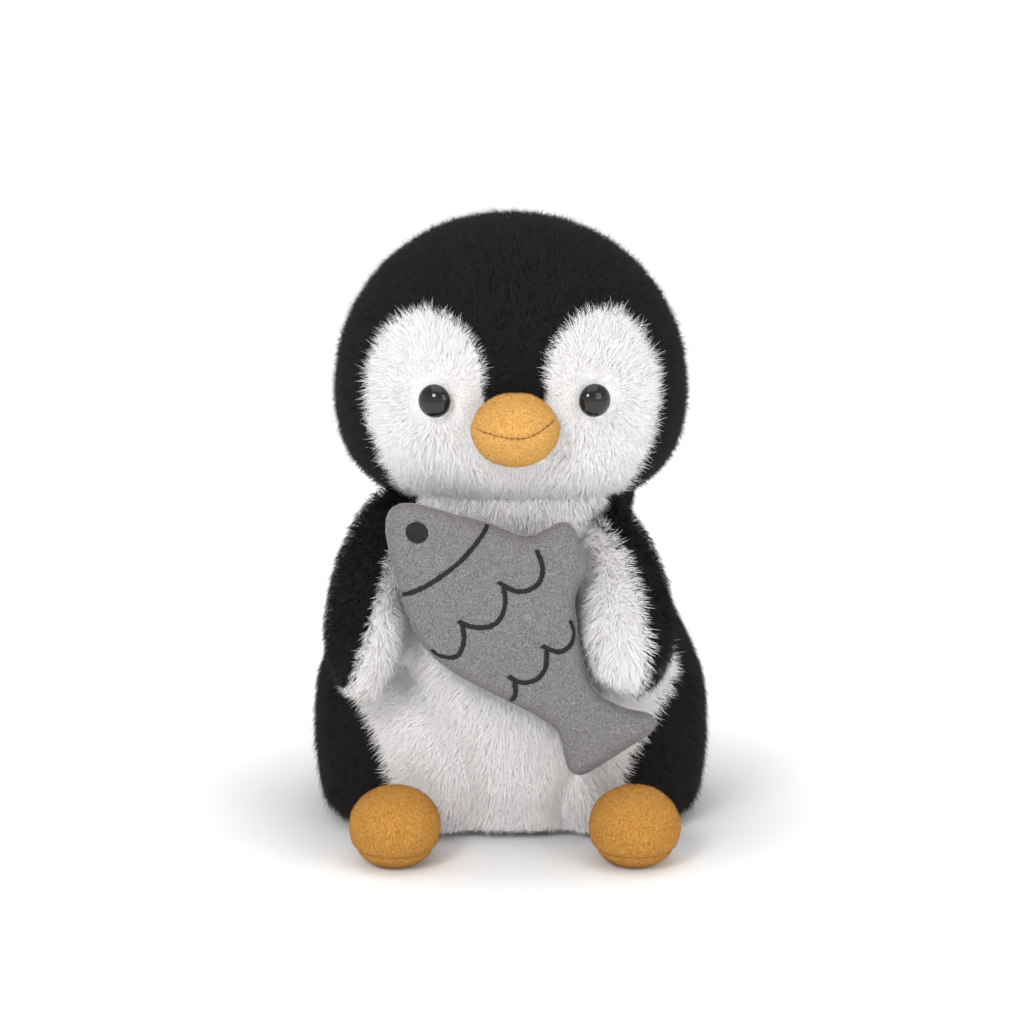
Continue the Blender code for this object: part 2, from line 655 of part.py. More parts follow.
def build_fish(grey, filling, dark_thread):
    reach = 120 * MM
    front = block("fish_front_half", (-reach, -reach, -reach), (reach, -GAP / 2, 2 * reach))
    back = block("fish_back_half", (-reach, GAP / 2, -reach), (reach, reach, 2 * reach))
    for half in (front, back):
        half.matrix_world = fish_place()
    inner = fish_pillow("fish_inside", NAP_SKIN)
    radius = 0.8 * MM
    stand = radius + GAP
    gill = [(-13, 118.5), (-13.6, 114), (-19.5, 107.2), (-27.7, 100.9), (-35.5, 96.8)]
    upper = [(7.3, 111.3), (9.4, 104.5), (7.5, 98.8), (0.6, 96.6), (-6.1, 100), (-3.7, 93.5)]
    upper += [(-6, 86), (-12.5, 83.8), (-20.3, 86.3), (-18.3, 80), (-20, 74)]
    lower = [(18.6, 86.1), (19.8, 81.8), (18.6, 77.6), (14.8, 75.3), (9, 77.3), (10.8, 71.5)]
    lower += [(7.6, 65.6), (2.5, 64.2), (-2.7, 66.7)]
    drawing = {
        "gill": on_fish(rounded(gill, 3, closed=False), stand),
        "scale_upper": on_fish(rounded(upper, 1, closed=False), stand),
        "scale_lower": on_fish(rounded(lower, 1, closed=False), stand),
    }
    patch_place = fish_place() @ Matrix.Translation((-34.6 * MM, -FISH_HALF_THICKNESS - GAP, 117.3 * MM))
    patch = [(0, 0), (3.8 * MM, 0), (3.8 * MM, 0.5 * MM), (3 * MM, 0.9 * MM), (0, 0.9 * MM)]
    tack_ends = [FISH_HALF_THICKNESS + GAP, FISH_HALF_THICKNESS + 3.2 * MM]
    tack = [fish_place() @ Vector((-6 * MM, y, 92 * MM)) for y in tack_ends]
    pieces = [
        carve(fish_pillow("fish_front", finish=grey), keep=[front], remove=[inner]),
        carve(fish_pillow("fish_back", finish=grey), keep=[back], remove=[inner]),
        fish_pillow("fish_stuffing", NAP_SKIN + GAP, filling),
        turned("fish_eye_patch", patch, 16, patch_place @ Matrix.Rotation(math.pi / 2, 4, "X"), dark_thread),
        thread("fish_gill_thread", drawing["gill"], radius, dark_thread),
        thread("fish_scale_thread_upper", drawing["scale_upper"], radius, dark_thread),
        thread("fish_scale_thread_lower", drawing["scale_lower"], radius, dark_thread),
        thread("fish_tack_thread", tack, 1.5 * MM, grey),
    ]
    hang(pivot("fish_pivot", fish_place() @ Vector((-10 * MM, FISH_HALF_THICKNESS, 104 * MM))), pieces)


def main():
    for old in list(bpy.data.objects):
        bpy.data.objects.remove(old)
    black = material("black_pile", (0.012, 0.012, 0.014), 0.85)
    white = material("white_pile", (0.86, 0.85, 0.82), 0.9)
    orange = material("orange_nap", (0.72, 0.38, 0.06), 0.85)
    grey = material("grey_nap", (0.26, 0.25, 0.26), 0.85)
    dark_thread = material("dark_thread", (0.02, 0.02, 0.023), 0.6)
    filling = material("polyester_filling", (0.9, 0.9, 0.9), 1.0)
    pellets = material("pellet_bag_cloth", (0.75, 0.74, 0.7), 0.9)
    base_cloth = material("base_cloth", (0.015, 0.015, 0.017), 0.9)
    tape = material("satin_tape", (0.85, 0.85, 0.85), 0.5)
    gloss = material("glossy_black_plastic", (0.005, 0.005, 0.005), 0.08)
    washer_plastic = material("washer_plastic", (0.8, 0.8, 0.78), 0.4)
    build_torso(black, white, base_cloth, filling, pellets, dark_thread, tape)
    build_tail(black, filling)
    neck = build_neck(filling)
    head = build_head(black, white, filling, gloss, washer_plastic)
    head += build_beak(orange, filling, dark_thread)
    nod = pivot("nod_pivot", (0, TORSO_Y, NECK_Z))
    turn = pivot("turn_pivot", (0, TORSO_Y, NECK_Z))
    hang(nod, [neck, turn])
    hang(turn, head)
    for which in WINGS:
        build_wing(which, black, white, filling)
    for which in FEET:
        build_foot(which, orange, filling)
    build_fish(grey, filling, dark_thread)


main()
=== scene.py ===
"""A plush penguin that holds a plush fish: padded cloth, cut pile, short nap, embroidery and eyes."""

import json
import logging
import math
from dataclasses import dataclass, field
from enum import Enum
from typing import Any, Callable, Iterable, Sequence

import bmesh
import bpy
import numpy as np
from mathutils import Matrix, Vector
from mathutils.bvhtree import BVHTree

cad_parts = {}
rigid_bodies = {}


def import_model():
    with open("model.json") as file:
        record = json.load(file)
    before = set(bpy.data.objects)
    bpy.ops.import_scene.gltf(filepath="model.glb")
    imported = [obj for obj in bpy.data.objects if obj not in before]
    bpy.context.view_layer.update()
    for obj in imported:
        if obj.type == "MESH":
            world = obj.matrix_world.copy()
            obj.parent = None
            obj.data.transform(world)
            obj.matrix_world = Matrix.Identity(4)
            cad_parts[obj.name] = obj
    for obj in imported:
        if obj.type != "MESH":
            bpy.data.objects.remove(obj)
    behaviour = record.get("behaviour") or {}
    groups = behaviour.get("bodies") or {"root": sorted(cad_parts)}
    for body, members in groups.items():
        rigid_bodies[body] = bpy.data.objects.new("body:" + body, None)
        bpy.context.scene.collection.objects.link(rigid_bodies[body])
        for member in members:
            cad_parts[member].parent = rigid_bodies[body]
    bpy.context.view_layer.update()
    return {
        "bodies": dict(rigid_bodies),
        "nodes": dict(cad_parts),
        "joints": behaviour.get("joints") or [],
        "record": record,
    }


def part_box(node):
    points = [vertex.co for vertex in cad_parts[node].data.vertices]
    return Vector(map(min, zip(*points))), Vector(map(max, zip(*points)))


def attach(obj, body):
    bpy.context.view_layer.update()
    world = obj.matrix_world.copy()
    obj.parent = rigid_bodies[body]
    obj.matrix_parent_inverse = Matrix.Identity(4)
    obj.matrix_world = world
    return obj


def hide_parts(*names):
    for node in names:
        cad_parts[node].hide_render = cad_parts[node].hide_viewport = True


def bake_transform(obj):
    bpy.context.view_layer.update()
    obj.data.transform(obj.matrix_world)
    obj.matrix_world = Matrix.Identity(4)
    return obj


logging.basicConfig(level=logging.INFO, format="%(message)s")
log = logging.getLogger("plush")

MM = 0.001
Array = np.ndarray
TORSO_Y = 12.25 * MM


# Shader nodes


class Maths:
    """A node socket that takes part in Python expressions."""

    def __init__(self, tree: bpy.types.NodeTree, socket: bpy.types.NodeSocket) -> None:
        """Wraps one output socket of a node tree."""
        self.tree = tree
        self.socket = socket

    def _join(self, operation: str, first: Any, second: Any, clamp: bool = False) -> "Maths":
        """Adds a Math node.

        Args:
            operation: the Math node's operation.
            first: a socket wrapper or a number.
            second: a socket wrapper or a number.
            clamp: whether the result is kept from 0 to 1.

        Returns:
            The wrapped result.
        """
        node = self.tree.nodes.new("ShaderNodeMath")
        node.operation = operation
        node.use_clamp = clamp
        for slot, value in enumerate((first, second)):
            if isinstance(value, Maths):
                self.tree.links.new(value.socket, node.inputs[slot])
            else:
                node.inputs[slot].default_value = float(value)
        return Maths(self.tree, node.outputs[0])

    def __add__(self, other: Any) -> "Maths":
        """Sum."""
        return self._join("ADD", self, other)

    __radd__ = __add__

    def __sub__(self, other: Any) -> "Maths":
        """Difference."""
        return self._join("SUBTRACT", self, other)

    def __rsub__(self, other: Any) -> "Maths":
        """Difference from a number."""
        return self._join("SUBTRACT", other, self)

    def __mul__(self, other: Any) -> "Maths":
        """Product."""
        return self._join("MULTIPLY", self, other)

    __rmul__ = __mul__

    def clamped(self) -> "Maths":
        """This kept from 0 to 1."""
        return self._join("ADD", self, 0.0, clamp=True)

    def sine(self) -> "Maths":
        """The sine of this."""
        return self._join("SINE", self, 0.0)


class Bench:
    """A material in the making: adds nodes and ends in one Principled shader."""

    def __init__(self, name: str) -> None:
        """Starts an empty node material."""
        self.material = bpy.data.materials.new(name)
        self.material.use_nodes = True
        self.tree = self.material.node_tree
        self.shader = self.tree.nodes["Principled BSDF"]

    def node(
        self,
        kind: str,
        settings: dict[str, Any] | None = None,
        values: dict[Any, Any] | None = None,
        output: Any = 0,
    ) -> Maths:
        """Adds any node.

        Args:
            kind: the node's type name.
            settings: the node's own settings, set first.
            values: a number, colour or wrapped link for each named or numbered input.
            output: the output that is wanted, by name or number.

        Returns:
            The wrapped output.
        """
        made = self.tree.nodes.new(kind)
        for name, value in (settings or {}).items():
            setattr(made, name, value)
        for name, value in (values or {}).items():
            if isinstance(value, Maths):
                self.tree.links.new(value.socket, made.inputs[name])
            else:
                made.inputs[name].default_value = value
        return Maths(self.tree, made.outputs[output])

    def place(self) -> Maths:
        """Object coordinates."""
        return self.node("ShaderNodeTexCoord", output="Object")

    def stretched(self, scale: Sequence[float], turn: Sequence[float] = (0, 0, 0)) -> Maths:
        """Object coordinates scaled and turned by a Mapping node."""
        return self.node(
            "ShaderNodeMapping",
            values={"Vector": self.place(), "Scale": tuple(scale), "Rotation": tuple(turn)},
        )

    def noise(self, scale: float, detail: float = 2.0, vector: Maths | None = None) -> Maths:
        """Noise from 0 to 1 at a scale per metre."""
        values = {"Vector": vector or self.place(), "Scale": scale, "Detail": detail}
        return self.node("ShaderNodeTexNoise", values=values)

    def grains(self, scale: float, vector: Maths | None = None) -> Maths:
        """Distance to the nearest grain's middle at a scale per metre."""
        values = {"Vector": vector or self.place(), "Scale": scale}
        return self.node("ShaderNodeTexVoronoi", values=values)

    def attribute(self, name: str) -> Maths:
        """A number stored on the mesh."""
        return self.node("ShaderNodeAttribute", {"attribute_name": name}, output="Fac")

    def mix(self, share: Any, first: Any, second: Any) -> Maths:
        """A mix of two colours.

        Args:
            share: how much of the second, as a link or a number.
            first: a link or an RGB colour.
            second: a link or an RGB colour.

        Returns:
            The wrapped colour.
        """
        values = {0: share, 6: opaque(first), 7: opaque(second)}
        return self.node("ShaderNodeMix", {"data_type": "RGBA"}, values, output=2)

    def bump(self, height: Maths, distance: float, strength: float = 1.0) -> None:
        """Feeds a Bump node into the shader's Normal."""
        values = {"Height": height, "Distance": distance, "Strength": strength}
        normal = self.node("ShaderNodeBump", values=values)
        self.tree.links.new(normal.socket, self.shader.inputs["Normal"])

    def feed(self, **links: Any) -> None:
        """Sets or links the shader's sockets, with _ for a space in their names."""
        for name, value in links.items():
            socket = self.shader.inputs[name.replace("_", " ")]
            if isinstance(value, Maths):
                self.tree.links.new(value.socket, socket)
            else:
                socket.default_value = value


def opaque(colour: Any) -> Any:
    """An RGB colour with its alpha, or the link as it is."""
    return colour if isinstance(colour, Maths) else (*colour, 1.0)


# Finishes

Colour = tuple[float, float, float]


@dataclass(frozen=True)
class PileFinish:
    """Cut plush pile: painted shade darkens each strand from its tip to its root, and the tone differs from
    strand to strand.
    """

    name: str
    # root is the strands' colour at their roots, darker than the tips as painted shade where the pile shades
    # itself.
    root: Colour
    tip: Colour
    other: Colour
    rim: Colour
    sheen: float
    roughness: float = 0.75
    patch: float = 90.0

    def material(self) -> bpy.types.Material:
        """The strands' material."""
        bench = Bench(self.name)
        along = bench.attribute("along")
        tint = bench.attribute("tint")
        patches = bench.noise(self.patch, 3.0)
        streak = bench.noise(900.0, 2.0)
        mixed = (tint * 0.45 + patches * 0.35 + streak * 0.3).clamped()
        tips = bench.mix(mixed, self.tip, self.other)
        # Painted shade: along each strand the colour runs from the tips' tone down to the darker root colour.
        colour = bench.mix((along * 1.6).clamped(), self.root, tips)
        bench.feed(
            Base_Color=colour,
            Roughness=(streak * 0.15 + (self.roughness - 0.07)),
            Sheen_Weight=self.sheen,
            Sheen_Roughness=0.45,
            Sheen_Tint=opaque(self.rim),
            Specular_IOR_Level=0.12,
        )
        return bench.material


@dataclass(frozen=True)
class BackingFinish:
    """The knitted backing that the pile stands in, seen between the strands."""

    name: str
    colour: Colour
    shade: Colour

    def material(self) -> bpy.types.Material:
        """The backing's material."""
        bench = Bench(self.name)
        tufts = bench.noise(700.0, 4.0)
        patches = bench.noise(60.0, 2.0)
        mixed = (tufts * 0.7 + patches * 0.4 - 0.1).clamped()
        bench.feed(Base_Color=bench.mix(mixed, self.shade, self.colour), Roughness=0.95)
        bench.bump(tufts + bench.grains(1100.0) * 0.5, 0.5 * MM, 0.8)
        return bench.material


@dataclass(frozen=True)
class NapFinish:
    """Short suede-like nap with speckled grains and soft brushed patches."""

    name: str
    dark: Colour
    middle: Colour
    light: Colour
    grain: float = 1500.0
    stretch: Colour = (1.0, 1.0, 1.0)
    contrast: float = 1.0

    def material(self) -> bpy.types.Material:
        """The nap's material, for the cloth and for its fibres."""
        bench = Bench(self.name)
        spread = bench.stretched(self.stretch)
        speckle = bench.noise(self.grain, 3.0, spread)
        grains = bench.grains(self.grain * 0.9, spread)
        brushed = bench.noise(130.0, 3.0)
        tone = (speckle - 0.5) * 2.4 * self.contrast + 0.5
        light = bench.mix(tone.clamped(), self.dark, self.light)
        soft = bench.mix((brushed * 1.6 - 0.4).clamped(), self.middle, light)
        colour = bench.mix(0.65, soft, light)
        bench.feed(
            Base_Color=colour,
            Roughness=0.93,
            Sheen_Weight=0.35,
            Sheen_Roughness=0.5,
            Sheen_Tint=opaque(self.light),
            Specular_IOR_Level=0.15,
        )
        bench.bump(speckle + (1.0 - grains) * 0.4, 0.35 * MM, 0.9)
        return bench.material


@dataclass(frozen=True)
class ThreadFinish:
    """Sewing or embroidery thread with a twist of fine fibres."""

    name: str
    dark: Colour
    light: Colour
    roughness: float = 0.5

    def material(self) -> bpy.types.Material:
        """The thread's material."""
        bench = Bench(self.name)
        fibres = bench.noise(2600.0, 2.0, bench.stretched((1.0, 0.35, 0.35), (0.3, 0.2, 0.6)))
        worn = bench.noise(240.0, 2.0)
        mixed = ((fibres - 0.35) * 2.0 * (worn + 0.4)).clamped()
        bench.feed(
            Base_Color=bench.mix(mixed, self.dark, self.light),
            Roughness=fibres * 0.3 + (self.roughness - 0.15),
            Sheen_Weight=0.06,
            Specular_IOR_Level=0.25,
        )
        bench.bump(fibres, 0.12 * MM, 0.8)
        return bench.material


@dataclass(frozen=True)
class GlossFinish:
    """Polished black plastic with faint rub marks."""

    name: str
    colour: Colour

    def material(self) -> bpy.types.Material:
        """The eyes' material."""
        bench = Bench(self.name)
        marks = bench.noise(600.0, 4.0)
        depth = bench.noise(150.0, 1.0)
        lighter = tuple(min(1.0, c * 1.6 + 0.002) for c in self.colour)
        bench.feed(
            Base_Color=bench.mix(depth, self.colour, lighter),
            Roughness=marks * 0.05 + 0.04,
            Specular_IOR_Level=0.5,
        )
        bench.bump(marks, 0.01 * MM, 0.15)
        return bench.material


@dataclass(frozen=True)
class MouldedFinish:
    """Matte moulded plastic with a fine grain."""

    name: str
    colour: Colour
    shade: Colour

    def material(self) -> bpy.types.Material:
        """The washers' material."""
        bench = Bench(self.name)
        grain = bench.noise(1400.0, 3.0)
        bench.feed(Base_Color=bench.mix(grain, self.shade, self.colour), Roughness=grain * 0.2 + 0.4)
        bench.bump(grain, 0.03 * MM, 0.4)
        return bench.material


@dataclass(frozen=True)
class FillingFinish:
    """Loose polyester fibre."""

    name: str
    colour: Colour
    shade: Colour

    def material(self) -> bpy.types.Material:
        """The filling's material."""
        bench = Bench(self.name)
        wisps = bench.noise(350.0, 6.0, bench.stretched((1.0, 1.0, 0.35), (0.5, 0.3, 0.0)))
        bench.feed(Base_Color=bench.mix(wisps, self.shade, self.colour), Roughness=1.0)
        bench.bump(wisps, 1.2 * MM, 0.8)
        return bench.material


@dataclass(frozen=True)
class WovenFinish:
    """Plain woven cloth or tape, with threads both ways."""

    name: str
    colour: Colour
    shade: Colour
    pitch: float = 0.6 * MM
    roughness: float = 0.9

    def material(self) -> bpy.types.Material:
        """The woven cloth's material."""
        bench = Bench(self.name)
        turns = 2 * math.pi / self.pitch
        split = self._axes(bench)
        warp, weft = ((axis * turns).sine() for axis in split)
        weave = warp * weft * 0.5 + 0.5
        worn = bench.noise(120.0, 3.0)
        mixed = (weave * 0.7 + worn * 0.4 - 0.05).clamped()
        bench.feed(Base_Color=bench.mix(mixed, self.shade, self.colour), Roughness=self.roughness)
        bench.bump(weave, 0.12 * MM, 0.8)
        return bench.material

    @staticmethod
    def _axes(bench: Bench) -> tuple[Maths, Maths]:
        """X, and Y with Z, of the Object coordinates."""
        node = bench.tree.nodes.new("ShaderNodeSeparateXYZ")
        bench.tree.links.new(bench.place().socket, node.inputs[0])
        x, y, z = (Maths(bench.tree, node.outputs[k]) for k in range(3))
        return x, y + z


BLACK_PILE = PileFinish(
    "black_pile_strands",
    # The root colour is darker than the tips: painted shade.
    root=(0.005, 0.005, 0.006),
    tip=(0.0105, 0.0098, 0.011),
    other=(0.022, 0.0195, 0.021),
    rim=(0.75, 0.60, 0.52),
    sheen=0.035,
)
WHITE_PILE = PileFinish(
    "white_pile_strands",
    # The root colour is greyer and warmer than the tips: painted shade.
    root=(0.93, 0.905, 0.89),
    tip=(0.97, 0.965, 0.96),
    other=(0.95, 0.935, 0.925),
    rim=(1.0, 1.0, 1.0),
    sheen=0.25,
)
BLACK_BACKING = BackingFinish("black_pile_backing", (0.008, 0.008, 0.009), (0.003, 0.003, 0.004))
WHITE_BACKING = BackingFinish("white_pile_backing", (0.95, 0.94, 0.93), (0.88, 0.87, 0.85))
ORANGE_NAP = NapFinish(
    "orange_nap_cloth",
    dark=(0.32, 0.128, 0.019),
    middle=(0.52, 0.242, 0.043),
    light=(0.70, 0.375, 0.095),
    grain=1900.0,
    stretch=(1.0, 1.0, 0.6),
)
# The beak's copy of the orange nap, lighter and yellower than the feet's: painted light for the light that
# the beak catches from above and in front.
BEAK_NAP_LIT = NapFinish(
    "beak_nap_cloth",
    dark=(0.46, 0.21, 0.045),
    middle=(0.70, 0.37, 0.095),
    light=(0.88, 0.54, 0.175),
    grain=2000.0,
    stretch=(1.0, 0.8, 0.7),
)
GREY_NAP = NapFinish(
    "grey_nap_cloth",
    dark=(0.095, 0.091, 0.098),
    middle=(0.190, 0.182, 0.191),
    light=(0.320, 0.308, 0.322),
    grain=1900.0,
    contrast=1.1,
)
BLACK_THREAD = ThreadFinish("black_embroidery_thread", (0.004, 0.004, 0.005), (0.022, 0.021, 0.023))
BROWN_THREAD = ThreadFinish("brown_mouth_thread", (0.10, 0.045, 0.015), (0.30, 0.15, 0.05))
GREY_THREAD = ThreadFinish("grey_seam_thread", (0.20, 0.19, 0.20), (0.42, 0.40, 0.41))
EYE_GLOSS = GlossFinish("glossy_black_eye", (0.004, 0.004, 0.005))
WASHER = MouldedFinish("washer_moulding", (0.8, 0.8, 0.78), (0.68, 0.68, 0.66))
FILLING = FillingFinish("fibre_filling", (0.92, 0.92, 0.92), (0.75, 0.75, 0.76))
PELLET_CLOTH = WovenFinish("pellet_bag_weave", (0.78, 0.77, 0.73), (0.62, 0.61, 0.58))
BASE_CLOTH = WovenFinish("base_weave", (0.018, 0.018, 0.02), (0.006, 0.006, 0.007))
SATIN_TAPE = WovenFinish("satin_tape_weave", (0.88, 0.88, 0.88), (0.74, 0.74, 0.75), 0.3 * MM, 0.45)


# Outlines, in millimetres in the front view

FACE_SIDE = (
    (0, 157), (7, 159), (9.6, 167), (10.5, 176), (15, 185.5), (23, 191.5), (31.5, 193.5),
    (43, 187.5), (51.5, 171), (50.5, 150), (44, 133), (37, 120), (36, 106),
)
BELLY_SIDE = (
    (43, -6), (44.5, 12), (48, 28), (54, 44), (60, 58), (55, 70), (43, 84), (36, 98), (33, 110), (31, 124)
)
FISH_OUTLINE = (
    (-46.5, 117), (-43.5, 127), (-33, 127.3), (-20, 123.6), (-8, 121), (4, 116), (12.5, 120), (20, 121.2),
    (25, 110), (26.7, 103.5), (22, 95.5), (22.6, 84), (25, 71), (29, 59.8), (40, 54), (49, 52), (50.6, 46),
    (40, 39), (29, 32), (21.5, 28.7), (17, 34), (14.5, 45.5), (-1, 55), (-19, 64.5), (-33, 75.5), (-40, 91.5),
)
GILL = (
    ((-11.7, 122), (-9.9, 119.8), (-13.1, 114.5), (-19.5, 107.2), (-27.7, 100.9), (-34.7, 97), (-41.1, 94.9)),
)
UPPER_SCALES = (
    ((7.3, 111.3), (9.4, 104.9), (8.4, 99.9), (4.8, 97.1), (0.6, 96.5), (-3, 97.9), (-6.1, 100)),
    ((-4.4, 98.2), (-3.7, 92.9), (-5.1, 87.6), (-8.3, 84.5), (-12.5, 83.8), (-16.8, 84.5), (-20.3, 86.3)),
    ((-18.9, 85), (-18.2, 79.9), (-19.3, 75.7), (-21, 73.6), (-23.9, 73.2), (-27.8, 74.3), (-29.5, 76.1)),
)
LOWER_SCALES = (
    ((19, 86.1), (20.4, 81.8), (19.3, 77.6), (15.8, 75.1), (12.2, 75.8), (9, 77.3)),
    ((10.8, 75.5), (10.4, 69.5), (7.6, 65.6), (3.3, 64.2), (-0.2, 64.9), (-2.7, 66.7)),
    ((-0.6, 65), (-0.2, 60.3), (-1.7, 57.5), (-3.8, 56.8)),
)


def curve_through(points: Iterable[Sequence[float]], steps: int = 6, closed: bool = True) -> Array:
    """A smooth curve through points.

    Args:
        points: the points, in any number of dimensions.
        steps: how many parts each span is cut into.
        closed: whether the curve comes back to its start.

    Returns:
        The curve's points, one row each, in the points' own unit.
    """
    fixed = np.array(list(points), float)
    if closed:
        before, after = np.roll(fixed, 1, axis=0), np.roll(fixed, -1, axis=0)
        later = np.roll(fixed, -2, axis=0)
        start = fixed
    else:
        padded = np.vstack([fixed[:1], fixed, fixed[-1:]])
        before, start, after, later = padded[:-3], padded[1:-2], padded[2:-1], padded[3:]
    made = []
    for step in range(steps):
        t = step / steps
        span = 2 * start + (after - before) * t
        span = span + (2 * before - 5 * start + 4 * after - later) * t**2
        made.append((span + (3 * start - before - 3 * after + later) * t**3) * 0.5)
    route = np.stack(made, axis=1).reshape(-1, fixed.shape[1])
    return route if closed else np.vstack([route, fixed[-1:]])


class Outline:
    """A closed outline in the front view, in metres."""

    STEP = 0.8 * MM

    def __init__(self, points: Array) -> None:
        """Keeps the outline, and the depth inside it on an even grid.

        Args:
            points: the outline's (x, z) points, in metres.
        """
        self.points = points
        self.low = points.min(0) - 40 * MM
        shape = np.ceil((points.max(0) + 40 * MM - self.low) / self.STEP).astype(int) + 1
        columns, rows = (np.arange(count) * self.STEP for count in shape)
        x, z = np.meshgrid(self.low[0] + columns, self.low[1] + rows, indexing="ij")
        self.grid = self._exact(x.ravel(), z.ravel()).reshape(shape)

    @classmethod
    def mirrored(cls, side: Sequence[Sequence[float]], shared: int) -> "Outline":
        """Makes a symmetrical outline from its one side.

        Args:
            side: the side's points in millimetres, from one end to the other.
            shared: how many of the first points lie on the middle line.

        Returns:
            The outline.
        """
        other = [(-x, z) for x, z in reversed(side[shared:])]
        return cls(curve_through([*side, *other], 4) * MM)

    def _exact(self, x: Array, z: Array) -> Array:
        """The depth of each place, measured from every edge."""
        near = np.full(len(x), np.inf)
        inside = np.zeros(len(x), bool)
        ends = np.roll(self.points, -1, axis=0)
        for (ax, az), (bx, bz) in zip(self.points, ends):
            t = ((x - ax) * (bx - ax) + (z - az) * (bz - az)) / max((bx - ax) ** 2 + (bz - az) ** 2, 1e-18)
            t = np.clip(t, 0, 1)
            near = np.minimum(near, (ax + t * (bx - ax) - x) ** 2 + (az + t * (bz - az) - z) ** 2)
            if az != bz:
                crossed = (az > z) != (bz > z)
                inside ^= crossed & (x < ax + (bx - ax) * (z - az) / (bz - az))
        return np.where(inside, 1, -1) * np.sqrt(near)

    def depth(self, x: Array, z: Array) -> Array:
        """How far places are inside the outline, below 0 outside it.

        Args:
            x: the places' X, in metres.
            z: the places' Z, in metres.

        Returns:
            The depth of each, in metres.
        """
        place = (np.stack([x, z], axis=1) - self.low) / self.STEP
        place = np.clip(place, 0, np.array(self.grid.shape) - 1.001)
        cell = place.astype(int)
        u, v = (place - cell).T
        i, j = cell.T
        low = self.grid[i, j] * (1 - u) + self.grid[i + 1, j] * u
        high = self.grid[i, j + 1] * (1 - u) + self.grid[i + 1, j + 1] * u
        return low * (1 - v) + high * v

    def inward(self, places: Array) -> Array:
        """The directions, in the front view, that lead deeper into the outline."""
        x, z, step = places[:, 0], places[:, 2], 1.5 * MM
        made = np.zeros_like(places)
        made[:, 0] = self.depth(x + step, z) - self.depth(x - step, z)
        made[:, 2] = self.depth(x, z + step) - self.depth(x, z - step)
        return unit(made)


FACE = Outline.mirrored(FACE_SIDE, 1)
BELLY = Outline.mirrored(BELLY_SIDE, 0)
FISH = Outline(curve_through(FISH_OUTLINE) * MM)


# Meshes


def object_of(name: str, bm: bmesh.types.BMesh, finish: bpy.types.Material | None = None) -> bpy.types.Object:
    """Turns a bmesh into a smooth-shaded object at the origin.

    Args:
        name: the object's name.
        bm: the mesh in the making, which is freed.
        finish: its material.

    Returns:
        The object.
    """
    mesh = bpy.data.meshes.new(name)
    bm.to_mesh(mesh)
    bm.free()
    mesh.shade_smooth()
    if finish is not None:
        mesh.materials.append(finish)
    made = bpy.data.objects.new(name, mesh)
    bpy.context.scene.collection.objects.link(made)
    return made


def points_of(mesh: bpy.types.Mesh) -> Array:
    """The mesh's points, one row each."""
    flat = np.empty(len(mesh.vertices) * 3)
    mesh.vertices.foreach_get("co", flat)
    return flat.reshape(-1, 3)


def normals_of(mesh: bpy.types.Mesh) -> Array:
    """The mesh's point normals, one row each."""
    flat = np.empty(len(mesh.vertices) * 3)
    mesh.vertex_normals.foreach_get("vector", flat)
    return flat.reshape(-1, 3)


def move_points(made: bpy.types.Object, places: Array) -> None:
    """Moves an object's points to new places."""
    made.data.vertices.foreach_set("co", np.ascontiguousarray(places, dtype=np.float32).ravel())
    made.data.update()


def apply_modifiers(made: bpy.types.Object) -> None:
    """Replaces an object's mesh by what its modifiers make of it."""
    graph = bpy.context.evaluated_depsgraph_get()
    mesh = bpy.data.meshes.new_from_object(made.evaluated_get(graph), depsgraph=graph)
    old = made.data
    made.modifiers.clear()
    made.data = mesh
    bpy.data.meshes.remove(old)


def smoothed(made: bpy.types.Object, times: int, factor: float = 0.5) -> None:
    """Evens out an object's points with bmesh.

    Args:
        made: the object.
        times: how often.
        factor: how far each time.
    """
    bm = bmesh.new()
    bm.from_mesh(made.data)
    axes = {"use_axis_x": True, "use_axis_y": True, "use_axis_z": True}
    for _ in range(times):
        bmesh.ops.smooth_vert(bm, verts=bm.verts, factor=factor, **axes)
    bm.to_mesh(made.data)
    bm.free()


def surface_of(form: bpy.types.Object) -> BVHTree:
    """The form's surface, for finding places on it."""
    mesh = form.data
    return BVHTree.FromPolygons([v.co for v in mesh.vertices], [p.vertices for p in mesh.polygons])


def unit(vectors: Array) -> Array:
    """Vectors at length 1."""
    return vectors / np.maximum(np.linalg.norm(vectors, axis=-1, keepdims=True), 1e-12)


def flattened(vectors: Array, normals: Array) -> Array:
    """Vectors laid in the plane across their normals, at length 1."""
    return unit(vectors - normals * (vectors * normals).sum(-1, keepdims=True))


